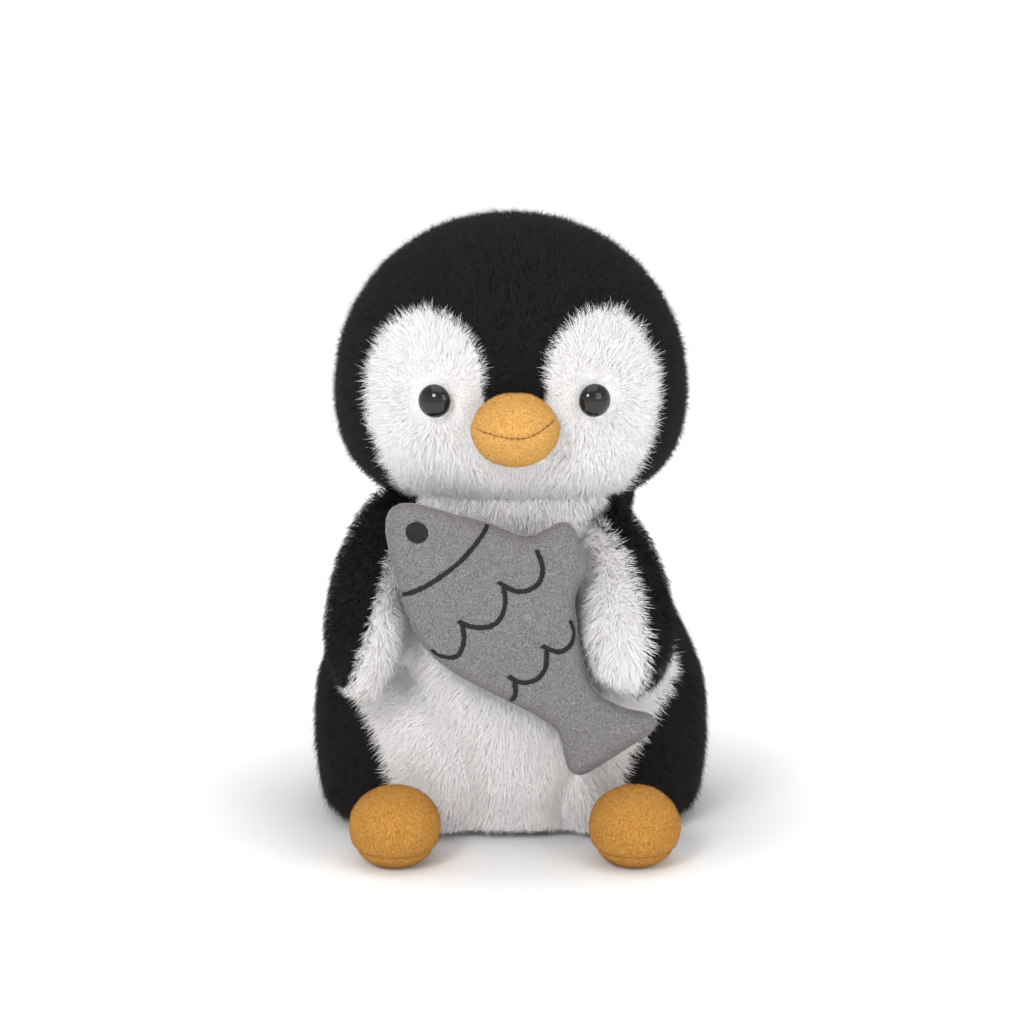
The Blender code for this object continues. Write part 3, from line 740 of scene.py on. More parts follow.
@dataclass
class Pad:
    """A stuffed form: the joined CAD solids of a body, swollen by cloth simulation."""

    nodes: Sequence[str]
    voxel: float = 3.5 * MM
    inset: float = 2.6 * MM
    swell: float = 1.2 * MM
    pressure: float = 4.0
    polish: int = 6

    def build(self, name: str, cad: dict[str, bpy.types.Object]) -> bpy.types.Object:
        """Makes the padded skin.

        Args:
            name: the new object's name.
            cad: the CAD objects by node name.

        Returns:
            A closed skin, without a material, at the origin.
        """
        bm = bmesh.new()
        for node in self.nodes:
            bm.from_mesh(cad[node].data)
        bmesh.ops.remove_doubles(bm, verts=bm.verts, dist=1e-6)
        made = object_of(name, bm)
        remesh = made.modifiers.new("voxels", "REMESH")
        remesh.mode = "VOXEL"
        remesh.voxel_size = self.voxel
        remesh.use_smooth_shade = True
        apply_modifiers(made)
        self._keep_largest(made)
        smoothed(made, self.polish)
        start = points_of(made.data)
        normals = normals_of(made.data)
        move_points(made, start - normals * (self.inset + 0.5 * self.swell))
        self._swell(made)
        smoothed(made, 2)
        subdivide = made.modifiers.new("smooth", "SUBSURF")
        subdivide.levels = subdivide.render_levels = 1
        apply_modifiers(made)
        made.data.shade_smooth()
        return made

    @staticmethod
    def _keep_largest(made: bpy.types.Object) -> None:
        """Keeps the outer shell and drops the shells inside it."""
        bm = bmesh.new()
        bm.from_mesh(made.data)
        bm.verts.ensure_lookup_table()
        seen: set[int] = set()
        groups = []
        for first in bm.verts:
            if first.index in seen:
                continue
            seen.add(first.index)
            group, stack = [], [first]
            while stack:
                vertex = stack.pop()
                group.append(vertex)
                for edge in vertex.link_edges:
                    other = edge.other_vert(vertex)
                    if other.index not in seen:
                        seen.add(other.index)
                        stack.append(other)
            groups.append(group)
        groups.sort(key=len)
        spare = [vertex for group in groups[:-1] for vertex in group]
        bmesh.ops.delete(bm, geom=spare, context="VERTS")
        bmesh.ops.recalc_face_normals(bm, faces=bm.faces)
        bm.to_mesh(made.data)
        bm.free()

    def _swell(self, made: bpy.types.Object) -> None:
        """Fills the skin by cloth simulation with inner pressure, and caps how far it moves."""
        scene = bpy.context.scene
        start = points_of(made.data)
        cloth = made.modifiers.new("cloth", "CLOTH")
        cloth.settings.quality = 4
        cloth.settings.mass = 0.2
        cloth.settings.use_pressure = True
        cloth.settings.uniform_pressure_force = self.pressure
        cloth.settings.effector_weights.gravity = 0
        cloth.settings.tension_stiffness = 25
        cloth.settings.bending_stiffness = 1.0
        cloth.collision_settings.use_collision = False
        for frame in range(1, 21):
            scene.frame_set(frame)
        graph = bpy.context.evaluated_depsgraph_get()
        end = points_of(made.evaluated_get(graph).data)
        made.modifiers.clear()
        scene.frame_set(1)
        move = end - start
        far = np.linalg.norm(move, axis=1, keepdims=True)
        move_points(made, start + move * np.minimum(1, self.swell / np.maximum(far, 1e-9)))


def dent(made: bpy.types.Object, route: Array, width: float, depth: float, facing: Array) -> None:
    """Presses a soft crease along a line into a form.

    Args:
        made: the form.
        route: the line's points in 3-D, in metres.
        width: how far the crease reaches to each side.
        depth: how deep it is.
        facing: the direction that the pressed surface faces.
    """
    places, normals = points_of(made.data), normals_of(made.data)
    open_side = np.clip((normals @ facing) * 1.6, 0, 1)
    flat = places - np.outer(places @ facing, facing)
    line = route - np.outer(route @ facing, facing)
    near = np.full(len(places), 1e9)
    for start, end in zip(line[:-1], line[1:]):
        edge = end - start
        t = np.clip((flat - start) @ edge / max(edge @ edge, 1e-12), 0, 1)
        near = np.minimum(near, np.linalg.norm(flat - (start + t[:, None] * edge), axis=1))
    push = depth * np.exp(-((near / width) ** 2)) * open_side
    move_points(made, places - facing * push[:, None])


def panel_of(
    name: str, form: bpy.types.Object, keep: Callable[[Array], Array], finish: bpy.types.Material
) -> bpy.types.Object:
    """Cuts one panel of cloth out of a padded form and gives it the cloth's thickness.

    Args:
        name: the panel's name.
        form: the padded form.
        keep: says which of the face middles belong to the panel.
        finish: the cloth's material.

    Returns:
        The panel.
    """
    bm = bmesh.new()
    bm.from_mesh(form.data)
    middles = np.array([face.calc_center_median() for face in bm.faces])
    kept = keep(middles)
    spare = [face for face, stays in zip(bm.faces, kept) if not stays]
    bmesh.ops.delete(bm, geom=spare, context="FACES")
    made = object_of(name, bm, finish)
    made.data.shade_smooth()
    wall = made.modifiers.new("wall", "SOLIDIFY")
    wall.thickness = 0.7 * MM
    wall.offset = -1
    apply_modifiers(made)
    return made


# Pile and nap


@dataclass
class Strands:
    """Fibres that stand in a skin: where they grow, how long they are and which way they lie."""

    density: float
    length: float
    width: float = 0.19 * MM
    lift: float = 0.8
    droop: float = 0.4
    clump: float = 0.2
    clump_size: float = 2.0 * MM
    wild: float = 0.28
    soften: float = 0.72
    strays: float = 0.1
    most: int = 64000
    short_blades: bool = False
    seed: int = 1

    def build(
        self,
        name: str,
        form: bpy.types.Object,
        lay: Callable[[Array, Array], Array],
        chance: Callable[[Array, Array], Array],
        finish: bpy.types.Material,
        reach: Callable[[Array], Array] | None = None,
    ) -> bpy.types.Object:
        """Grows the strands.

        Args:
            name: the new object's name.
            form: the skin that they stand in.
            lay: the direction that they are brushed in, from their places and normals.
            chance: the share of the strands that grow, from their places and normals.
            finish: their material.
            reach: how long they are beside the usual length, from their places.

        Returns:
            The strands as one mesh.
        """
        rng = np.random.default_rng(self.seed)
        places, normals = self._scatter(form, chance, rng)
        count = len(places)
        sizes = self.length * rng.uniform(0.72, 1.12, count)
        sizes = sizes * np.where(rng.random(count) < self.strays, 1.3, 1.0)
        if reach is not None:
            sizes = sizes * reach(places)
        brushed = lay(places, normals) + self._field(places, 11.0 * MM, 0.35, rng)
        brushed = brushed + rng.normal(0, self.wild, (count, 3))
        brushed = flattened(brushed, normals)
        stand = unit(normals * self.lift + brushed * (1 - self.lift) * 0.9)
        fall = unit(normals * self.lift * (1 - self.droop) + brushed)
        fall = fall + self._gather(places, normals, rng) * self.clump
        fall = unit(fall + rng.normal(0, self.wild * 0.6, (count, 3)))
        root = places - normals * 0.3 * MM
        middle = root + stand * (sizes * 0.52)[:, None]
        tip = middle + fall * (sizes * 0.5)[:, None]
        return self._mesh(name, root, middle, tip, normals, finish, rng)

    def _scatter(
        self, form: bpy.types.Object, chance: Callable[[Array, Array], Array], rng: np.random.Generator
    ) -> tuple[Array, Array]:
        """Random places on the skin with their normals."""
        mesh = form.data
        mesh.calc_loop_triangles()
        corners = np.empty(len(mesh.loop_triangles) * 3, dtype=np.int32)
        mesh.loop_triangles.foreach_get("vertices", corners)
        corners = corners.reshape(-1, 3)
        points, normals = points_of(mesh), normals_of(mesh)
        a, b, c = (points[corners[:, k]] for k in range(3))
        area = np.linalg.norm(np.cross(b - a, c - a), axis=1) / 2
        count = int(area.sum() * 1e6 * self.density)
        chosen = rng.choice(len(area), count, p=area / area.sum())
        u, v = rng.random(count), rng.random(count)
        swap = u + v > 1
        u, v = np.where(swap, 1 - u, u), np.where(swap, 1 - v, v)
        shares = np.stack([1 - u - v, u, v], axis=1)[..., None]
        places = (points[corners[chosen]] * shares).sum(1)
        facing = unit((normals[corners[chosen]] * shares).sum(1))
        kept = rng.random(count) < chance(places, facing)
        places, facing = places[kept], facing[kept]
        if len(places) > self.most:
            places, facing = places[: self.most], facing[: self.most]
        return places, facing

    @staticmethod
    def _field(places: Array, scale: float, strength: float, rng: np.random.Generator) -> Array:
        """A soft field of directions made of a few waves."""
        made = np.zeros_like(places)
        for _ in range(5):
            wave = unit(rng.normal(size=3)) * (2 * math.pi / scale) * rng.uniform(0.4, 1.4)
            made += np.sin(places @ wave + rng.uniform(0, 6.28))[:, None] * unit(rng.normal(size=3))
        return made * strength * 0.5

    def _gather(self, places: Array, normals: Array, rng: np.random.Generator) -> Array:
        """The pull of each strand's tip towards the middle of its lock."""
        offset = rng.uniform(0, self.clump_size, 3)
        cell = np.floor((places + offset) / self.clump_size).astype(np.int64)
        key = (cell[:, 0] * 73856093) ^ (cell[:, 1] * 19349663) ^ (cell[:, 2] * 83492791)
        jitter = np.stack([np.modf(np.abs(np.sin(key * k)) * 4375.85)[0] for k in (1.1, 2.3, 3.7)], axis=1)
        middle = (cell + 0.2 + 0.6 * jitter) * self.clump_size - offset
        pull = (middle - places) / self.clump_size
        return pull - normals * (pull * normals).sum(1, keepdims=True)

    def _mesh(
        self,
        name: str,
        root: Array,
        middle: Array,
        tip: Array,
        normals: Array,
        finish: bpy.types.Material,
        rng: np.random.Generator,
    ) -> bpy.types.Object:
        """Makes the blades: a tapered strip of a quad and a triangle, or one triangle if short."""
        count = len(root)
        across = unit(np.cross(tip - root, normals) + rng.normal(0, 1e-4, (count, 3)))
        twist = rng.uniform(-0.9, 0.9, count)[:, None]
        outward = unit(np.cross(across, unit(tip - root)))
        across = unit(across * np.cos(twist) + outward * np.sin(twist))
        wide = across * (self.width / 2) * rng.uniform(0.75, 1.2, count)[:, None]
        if self.short_blades:
            rows = [root - wide, root + wide, tip]
            along, faces, sizes = (0.0, 0.0, 1.0), ((0, 1, 2),), (3,)
        else:
            rows = [root - wide, root + wide, middle + wide * 0.9, middle - wide * 0.9, tip]
            along, faces, sizes = (0.0, 0.0, 0.55, 0.55, 1.0), ((0, 1, 2, 3), (3, 2, 4)), (4, 3)
        per = len(rows)
        points = np.stack(rows, axis=1).reshape(-1, 3)
        facing = np.cross(rows[1] - rows[0], tip - rows[0])
        turned = (facing * normals).sum(1) < 0
        loops = np.concatenate([np.array(f) for f in faces])
        back = np.concatenate([np.array(f[::-1]) for f in faces])
        order = np.where(turned[:, None], back[None], loops[None]) + (np.arange(count) * per)[:, None]
        mesh = bpy.data.meshes.new(name)
        mesh.vertices.add(count * per)
        mesh.vertices.foreach_set("co", points.astype(np.float32).ravel())
        mesh.loops.add(order.size)
        mesh.loops.foreach_set("vertex_index", order.astype(np.int32).ravel())
        starts = np.concatenate([[0], np.cumsum(np.tile(sizes, count))[:-1]])
        mesh.polygons.add(count * len(sizes))
        mesh.polygons.foreach_set("loop_start", starts.astype(np.int32))
        mesh.update(calc_edges=True)
        mesh.shade_smooth()
        self._numbers(mesh, "along", np.tile(along, count))
        self._numbers(mesh, "tint", np.repeat(rng.random(count), per))
        self._flat_places(mesh, order, per, count, along)
        blade = unit(np.where(turned[:, None], -facing, facing))
        shown = unit(normals * self.soften + blade * (1 - self.soften))
        mesh.normals_split_custom_set_from_vertices(np.repeat(shown, per, axis=0))
        mesh.materials.append(finish)
        made = bpy.data.objects.new(name, mesh)
        bpy.context.scene.collection.objects.link(made)
        return made

    @staticmethod
    def _numbers(mesh: bpy.types.Mesh, name: str, values: Array) -> None:
        """Stores a number on every point."""
        layer = mesh.attributes.new(name, "FLOAT", "POINT")
        layer.data.foreach_set("value", np.asarray(values, dtype=np.float32))

    @staticmethod
    def _flat_places(
        mesh: bpy.types.Mesh, order: Array, per: int, count: int, along: Sequence[float]
    ) -> None:
        """Gives every strand its own small cell of the baking map."""
        columns = max(1, math.ceil(math.sqrt(count)))
        side = 1 / columns
        sides = (0.2, 0.8, 0.8, 0.2, 0.5) if per == 5 else (0.2, 0.8, 0.5)
        cell = np.arange(count)
        u = (cell % columns)[:, None] * side + np.array(sides)[None] * side
        v = (cell // columns)[:, None] * side + (np.array(along)[None] * 0.6 + 0.2) * side
        flat = np.stack([u, v], axis=2).reshape(-1, 2)
        layer = mesh.uv_layers.new(name="OFBake")
        layer.data.foreach_set("uv", flat[order.ravel()].astype(np.float32).ravel())


# Stitches


class Stitcher:
    """Sews small stitches, each a slim rounded bead, into one mesh."""

    def __init__(self) -> None:
        """Starts with no stitches."""
        self.bm = bmesh.new()

    def sew(self, middle: Vector, along: Vector, up: Vector, length: float, thick: float) -> None:
        """Adds one stitch.

        Args:
            middle: its middle.
            along: the direction of the thread.
            up: the direction out of the cloth.
            length: its whole length.
            thick: the thread's diameter.
        """
        side = up.cross(along).normalized()
        out = along.cross(side).normalized()
        place = Matrix((along.normalized(), side, out)).transposed().to_4x4()
        place.translation = middle
        size = Matrix.Diagonal((length / 2, thick / 2, thick / 2, 1))
        turned = place @ size @ Matrix.Rotation(math.pi / 2, 4, "Y")
        bmesh.ops.create_uvsphere(self.bm, u_segments=6, v_segments=4, radius=1, matrix=turned)

    def done(self, name: str, finish: bpy.types.Material) -> bpy.types.Object:
        """Finishes the stitches as an object."""
        return object_of(name, self.bm, finish)


def evenly(route: Array, pitch: float) -> Array:
    """Points at even steps along a route."""
    parts = np.linalg.norm(np.diff(route, axis=0), axis=1)
    far = np.concatenate([[0], np.cumsum(parts)])
    wanted = np.linspace(0, far[-1], max(2, int(round(far[-1] / pitch)) + 1))
    return np.stack([np.interp(wanted, far, route[:, k]) for k in range(route.shape[1])], axis=1)


def tube(
    name: str, route: Array, radius: float, finish: bpy.types.Material, closed: bool = False
) -> bpy.types.Object:
    """A round cord along a route.

    Args:
        name: its name.
        route: its points, in metres.
        radius: its radius.
        finish: its material.
        closed: whether it joins its own start.

    Returns:
        The cord as a mesh.
    """
    data = bpy.data.curves.new(name, "CURVE")
    data.dimensions = "3D"
    data.bevel_depth = radius
    data.bevel_resolution = 2
    data.use_fill_caps = not closed
    spline = data.splines.new("POLY")
    spline.points.add(len(route) - 1)
    spline.points.foreach_set("co", np.hstack([route, np.ones((len(route), 1))]).astype(np.float32).ravel())
    spline.use_cyclic_u = closed
    made = bpy.data.objects.new(name, data)
    bpy.context.scene.collection.objects.link(made)
    mesh = bpy.data.meshes.new_from_object(made)
    bpy.data.objects.remove(made)
    made = bpy.data.objects.new(name, mesh)
    bpy.context.scene.collection.objects.link(made)
    mesh.shade_smooth()
    mesh.materials.append(finish)
    return made


# Sub-assemblies


class Side(Enum):
    """The penguin's own sides."""

    LEFT = 1
    RIGHT = -1

    @property
    def word(self) -> str:
        """The side's word in piece names."""
        return self.name.lower()


@dataclass
class Workshop:
    """What all sub-assemblies share: the CAD objects and the finishes' materials."""

    cad: dict[str, bpy.types.Object]
    made: dict[str, bpy.types.Material] = field(default_factory=dict)

    def finish(self, kind: Any) -> bpy.types.Material:
        """The material of a finish, made once."""
        if kind.name not in self.made:
            self.made[kind.name] = kind.material()
        return self.made[kind.name]

    def attach(
        self, piece: bpy.types.Object, body: str, slot: str, *nodes: str, fill: float | None = None
    ) -> None:
        """Ties a piece to its body, and hides the CAD nodes that it stands for.

        Args:
            piece: the new piece.
            body: the CAD body that it rides on.
            slot: the record's material slot; not used.
            nodes: the CAD nodes that it replaces.
            fill: how full it is, if it is a padded piece; not used.
        """
        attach(piece, body)
        if nodes:
            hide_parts(*nodes)
        log.info("%s: %d faces on %s", piece.name, len(piece.data.polygons), body)

    def keep(self, node: str, kind: Any) -> None:
        """Gives a CAD node that stays its better material."""
        mesh = self.cad[node].data
        mesh.materials.clear()
        mesh.materials.append(self.finish(kind))
        log.info("%s: kept", node)


def down(places: Array, normals: Array) -> Array:
    """Brushed downwards."""
    return np.tile(np.array([0.0, 0.0, -1.0]), (len(places), 1))


def everywhere(places: Array, normals: Array) -> Array:
    """Growing all over."""
    return np.ones(len(places))


@dataclass
class Head:
    """The round head: black shell, white face, eyes, beak and mouth."""

    shop: Workshop
    face_back: float = TORSO_Y - 24 * MM
    overhang: float = 2.3 * MM
    lobe_x: float = 27 * MM
    lobe_z: float = 160 * MM
    eye_radius: float = 6 * MM
    eye_dome: float = 4.4 * MM
    eye_shank: tuple[tuple[float, float], ...] = ((5.75, -0.5), (5, -0.9), (2, -1), (2, -8), (0, -8.6))
    smile: tuple[tuple[float, float], ...] = (
        (-17, 155.6), (-12, 154.2), (-5, 152.9), (2, 152.4), (7, 153.8), (12, 156.4), (17, 158.8)
    )
    beak_y: float = TORSO_Y - 57.5 * MM
    beak_z: float = 153.5 * MM
    beak_half: tuple[float, float] = (16 * MM, 13.3 * MM)

    def face_depth(self, places: Array) -> Array:
        """How deep inside the white face places are."""
        depth = FACE.depth(places[:, 0], places[:, 2]) - self.overhang
        return np.where(places[:, 1] < self.face_back, depth, -20 * MM)

    def brushed(self, places: Array, normals: Array) -> Array:
        """The shell's pile lies away from the face, and then back and down."""
        away = places - np.array([0, TORSO_Y - 60 * MM, 150 * MM])
        share = np.clip(1 + self.face_depth(places) / (14 * MM), 0, 1)[:, None]
        return (unit(away) * 0.8 + np.array([0, 0.15, -0.4])) * (1 - share) - FACE.inward(places) * share

    def parted(self, places: Array, normals: Array) -> Array:
        """The face's pile parts from the middle of each lobe and lies over its edge."""
        away = places * np.array([1, 0, 1]) - np.array([0, 0, self.lobe_z])
        away[:, 0] -= np.clip(places[:, 0] / (14 * MM), -1, 1) * self.lobe_x
        share = np.clip(1 - self.face_depth(places) / (8 * MM), 0, 1)[:, None]
        return (unit(away) + np.array([0, 0, -0.15])) * (1 - share) - FACE.inward(places) * share

    def near_features(self, places: Array) -> Array:
        """The pile is trimmed round the eyes and the beak."""
        reach = np.ones(len(places))
        for side in (1, -1):
            gap = np.hypot(places[:, 0] - side * 28 * MM, places[:, 2] - 162.5 * MM)
            reach = np.minimum(reach, np.clip((gap - 5 * MM) / (9 * MM), 0.3, 1))
        x, z = places[:, 0] / self.beak_half[0], (places[:, 2] - self.beak_z) / self.beak_half[1]
        gap = (np.hypot(x, z) - 1) * self.beak_half[1]
        return np.minimum(reach, np.clip((gap + 3 * MM) / (9 * MM), 0.35, 1))

    def build(self) -> None:
        """Makes the head."""
        shop = self.shop
        nodes = ("head_shell_left", "head_shell_right", "face_panel", "head_stuffing")
        form = Pad(nodes, voxel=3.6 * MM, inset=1.8 * MM, swell=1.4 * MM).build("head_form", shop.cad)
        self._shell(form)
        self._face(form)
        self._eyes()
        self._beak()
        bpy.data.objects.remove(form)

    def _shell(self, form: bpy.types.Object) -> None:
        """The black panels and their pile."""
        shop = self.shop
        backing = shop.finish(BLACK_BACKING)
        cloth = panel_of("head_shell_cloth", form, lambda p: self.face_depth(p) < 0, backing)
        nodes = ("head_shell_left", "head_shell_right", "head_stuffing")
        shop.attach(cloth, "head", "black_pile", *nodes, fill=0.8)
        for side in Side:
            def grows(places: Array, normals: Array, sign: int = side.value) -> Array:
                """Outside the face, on this side."""
                return ((self.face_depth(places) < 0.3 * MM) & (places[:, 0] * sign >= 0)).astype(float)

            pile = Strands(density=4.4, length=6.2 * MM, seed=11 + side.value).build(
                f"head_pile_{side.word}", form, self.brushed, grows, shop.finish(BLACK_PILE)
            )
            shop.attach(pile, "head", "black_pile")

    def _face(self, form: bpy.types.Object) -> None:
        """The white face and its pile, longest along its edge."""
        shop = self.shop
        backing = shop.finish(WHITE_BACKING)
        cloth = panel_of("face_cloth", form, lambda p: self.face_depth(p) >= 0, backing)
        shop.attach(cloth, "head", "white_pile", "face_panel", fill=0.8)

        def grows(places: Array, normals: Array) -> Array:
            """Inside the face."""
            return (self.face_depth(places) > 0).astype(float)

        def reach(places: Array) -> Array:
            """Longer along the edge, shorter at the eyes and the beak."""
            edge = np.clip(1.1 - self.face_depth(places) / (25 * MM), 0.95, 1.1)
            return edge * self.near_features(places)

        strands = Strands(
            density=7.2,
            length=5.8 * MM,
            lift=0.6,
            width=0.2 * MM,
            clump=0.15,
            soften=0.94,
            wild=0.24,
            seed=21,
        )
        pile = strands.build("face_pile", form, self.parted, grows, shop.finish(WHITE_PILE), reach)
        shop.attach(pile, "head", "white_pile")

    def _eyes(self) -> None:
        """Smooth glossy domes in place of the CAD eyes, washers kept."""
        shop = self.shop
        for side in Side:
            node = f"eye_{side.word}"
            points = points_of(shop.cad[node].data)
            look = self._axis(points)
            front = points[(points @ look).argmax()]
            bm = bmesh.new()
            turns = np.linspace(0, math.pi / 2, 12)
            profile = [(self.eye_radius * math.sin(t), self.eye_dome * math.cos(t)) for t in turns]
            profile += [(r * MM, h * MM) for r, h in self.eye_shank]
            verts = [bm.verts.new((r, 0, h)) for r, h in profile]
            edges = [bm.edges.new(pair) for pair in zip(verts, verts[1:])]
            spun = {"axis": (0, 0, 1), "cent": (0, 0, 0), "steps": 40, "angle": 2 * math.pi}
            bmesh.ops.spin(bm, geom=verts + edges, use_merge=True, **spun)
            bmesh.ops.remove_doubles(bm, verts=bm.verts, dist=1e-6)
            bmesh.ops.recalc_face_normals(bm, faces=bm.faces)
            turn = Vector(look).to_track_quat("Z", "X").to_matrix().to_4x4()
            base = Vector(front) - Vector(look) * self.eye_dome
            bmesh.ops.transform(bm, matrix=Matrix.Translation(base) @ turn, verts=bm.verts)
            dome = object_of(f"eye_dome_{side.word}", bm, shop.finish(EYE_GLOSS))
            shop.attach(dome, "head", "glossy_black_plastic", node)
            shop.keep(f"eye_washer_{side.word}", WASHER)

    @staticmethod
    def _axis(points: Array) -> Array:
        """The axis of a turned solid, pointing forwards."""
        spread = np.cov((points - points.mean(0)).T)
        values, vectors = np.linalg.eigh(spread)
        gaps = [abs(values[(k + 1) % 3] - values[(k + 2) % 3]) for k in range(3)]
        axis = vectors[:, int(np.argmin(gaps))]
        return axis if axis[1] < 0 else -axis

    def _beak(self) -> None:
        """The orange beak with its nap, seam and mouth thread."""
        shop = self.shop
        nodes = ("beak_upper", "beak_lower", "beak_stuffing")
        pad = Pad(nodes, voxel=1.5 * MM, inset=-1.1 * MM, swell=0.8 * MM, polish=8)
        form = pad.build("beak_form", shop.cad)
        smile = curve_through(self.smile, 6, False) * MM
        route = np.stack([smile[:, 0], np.full(len(smile), self.beak_y - 30 * MM), smile[:, 1]], axis=1)
        dent(form, route, 1.0 * MM, 0.9 * MM, np.array([0.0, -1.0, 0.0]))

        def above(places: Array) -> Array:
            """Above the mouth's seam."""
            return places[:, 2] >= np.interp(places[:, 0], smile[:, 0], smile[:, 1])

        # The beak's cloth and nap take the lighter copy of the orange nap, which is painted light.
        upper = panel_of("beak_upper_cloth", form, above, shop.finish(BEAK_NAP_LIT))
        lower = panel_of("beak_lower_cloth", form, lambda p: ~above(p), shop.finish(BEAK_NAP_LIT))
        shop.attach(upper, "head", "orange_nap", "beak_upper", "beak_stuffing", fill=0.9)
        shop.attach(lower, "head", "orange_nap", "beak_lower", fill=0.9)
        nap = nap_on("beak_nap", form, shop.finish(BEAK_NAP_LIT), 11.0, 31)
        shop.attach(nap, "head", "orange_nap")
        tree = surface_of(form)
        needle = Stitcher()
        places = []
        for x, y, z in evenly(route, 1.9 * MM):
            hit, normal, _, _ = tree.ray_cast(Vector((x, y - 30 * MM, z)), Vector((0, 1, 0)))
            if hit is not None and normal.y < -0.15:
                places.append((hit, normal))
        for (start, up), (end, _) in zip(places[:-1], places[1:]):
            along = end - start
            needle.sew((start + end) / 2 + up * 0.05 * MM, along, up, along.length * 0.86, 0.5 * MM)
        mouth = needle.done("mouth_stitches", shop.finish(BROWN_THREAD))
        shop.attach(mouth, "head", "dark_thread", "mouth_thread")
        bpy.data.objects.remove(form)


def nap_on(
    name: str, form: bpy.types.Object, finish: bpy.types.Material, density: float, seed: int
) -> bpy.types.Object:
    """Very short fibres over a suede-like cloth.

    Args:
        name: the new object's name.
        form: the cloth's form.
        finish: the cloth's material.
        density: fibres for each square millimetre.
        seed: the start of the random numbers.

    Returns:
        The fibres as one mesh.
    """
    fibres = Strands(
        density=density,
        length=1.15 * MM,
        width=0.2 * MM,
        lift=0.7,
        wild=0.5,
        soften=0.8,
        strays=0.0,
        short_blades=True,
        seed=seed,
    )
    return fibres.build(name, form, down, everywhere, finish)


@dataclass
class Torso:
    """The seated torso: white belly, black sides and back, base, seam and label."""

    shop: Workshop
    belly_back: float = TORSO_Y - 6 * MM

    def belly_depth(self, places: Array) -> Array:
        """How deep inside the white belly places are."""
        height = places[:, 2]
        overhang = np.interp(height, (20 * MM, 60 * MM), (4 * MM, 2 * MM))
        overhang += (places[:, 0] > 0) * np.interp(height, (30 * MM, 60 * MM), (5 * MM, 0))
        depth = BELLY.depth(places[:, 0], height) - overhang
        return np.where(places[:, 1] < self.belly_back, depth, -20 * MM)

    def brushed(self, places: Array, normals: Array) -> Array:
        """The back's pile lies down and outwards."""
        side = np.sign(places[:, 0])[:, None] * np.array([0.25, 0.0, 0.0])
        share = np.clip(1 + self.belly_depth(places) / (10 * MM), 0, 1)[:, None]
        return side + np.array([0, 0.1, -1.0]) - BELLY.inward(places) * share

    def parted(self, places: Array, normals: Array) -> Array:
        """The belly's pile lies down, and outwards at its edges."""
        out = np.clip(places[:, 0] / (50 * MM), -1, 1)
        laid = np.stack([out * 1.3, np.zeros(len(places)), np.full(len(places), -0.8)], axis=1)
        share = np.clip(1 - self.belly_depth(places) / (8 * MM), 0, 1)[:, None]
        return laid * (1 - share) - BELLY.inward(places) * share + np.array([0, 0, -0.3])

    def build(self) -> None:
        """Makes the torso."""
        shop = self.shop
        nodes = ("back_panel_left", "back_panel_right", "belly_panel", "base_panel", "torso_stuffing")
        pad = Pad(nodes, voxel=3.8 * MM, inset=2.5 * MM, swell=1.4 * MM)
        form = pad.build("torso_form", shop.cad)
        self._settle(form)
        self._creases(form)
        self._back(form)
        self._belly(form)
        base = panel_of("base_cloth", form, self.is_base, shop.finish(BASE_CLOTH))
        shop.attach(base, "torso", "base_cloth", "base_panel", fill=0.3)
        self._underside()
        self._closing(form)
        bpy.data.objects.remove(form)

    def _closing(self, form: bpy.types.Object) -> None:
        """The ladder stitches that close the back seam, deep in the pile."""
        low, high = (np.array(corner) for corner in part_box("closing_thread"))
        tree = surface_of(form)
        needle = Stitcher()
        for height in np.arange(low[2], high[2], 3 * MM):
            hit, normal, _, _ = tree.ray_cast(Vector((0, 0.2, height)), Vector((0, -1, 0)))
            across = Vector((0.8, 0, 0.25))
            needle.sew(hit + normal * 0.1 * MM, across, normal, 3.2 * MM, 0.6 * MM)
        stitches = needle.done("closing_stitches", self.shop.finish(BLACK_THREAD))
        self.shop.attach(stitches, "torso", "dark_thread", "closing_thread")

    @staticmethod
    def _settle(form: bpy.types.Object) -> None:
        """Lets the bottom of the form rest on the surface, and spreads its lower edge."""
        places = points_of(form.data)
        low = places[:, 2].min()
        share = np.clip(1 - (places[:, 2] - low) / (16 * MM), 0, 1) ** 2
        places[:, 2] -= (low - 0.5 * MM) * share
        out = places[:, :2] - np.array([0, TORSO_Y])
        outer = np.linalg.norm(out, axis=1, keepdims=True) > 45 * MM
        places[:, :2] += unit(out) * 5.0 * MM * share[:, None] * outer
        move_points(form, places)

    @staticmethod
    def is_base(places: Array) -> Array:
        """On the flat bottom, inside its seam."""
        return places[:, 2] < 1.5 * MM

    def _creases(self, form: bpy.types.Object) -> None:
        """The soft creases between the thighs and the belly."""
        front = np.array([0.0, -1.0, 0.0])
        for points in (
            [(-37, 62), (-27, 50), (-19.3, 36), (-15.8, 21), (-18.7, 7)],
            [(33, 46), (27, 36), (20, 24), (17, 14), (18.3, 6)],
        ):
            line = curve_through(points, 6, False) * MM
            route = np.stack([line[:, 0], np.full(len(line), -60 * MM), line[:, 1]], axis=1)
            dent(form, route, 5.5 * MM, 4.2 * MM, front)

    def _back(self, form: bpy.types.Object) -> None:
        """The black panels and their pile."""
        shop = self.shop

        def is_back(places: Array) -> Array:
            """Outside the belly, off the base."""
            return (self.belly_depth(places) < 0) & ~self.is_base(places)

        cloth = panel_of("back_cloth", form, is_back, shop.finish(BLACK_BACKING))
        nodes = ("back_panel_left", "back_panel_right", "torso_stuffing")
        shop.attach(cloth, "torso", "black_pile", *nodes, fill=0.75)
        for side in Side:
            def grows(places: Array, normals: Array, sign: int = side.value) -> Array:
                """Outside the belly, on this side, and off the base."""
                here = (self.belly_depth(places) < 0.3 * MM) & (places[:, 0] * sign >= 0)
                here &= ~((places[:, 2] < 3 * MM) & (normals[:, 2] < -0.8))
                return here.astype(float)

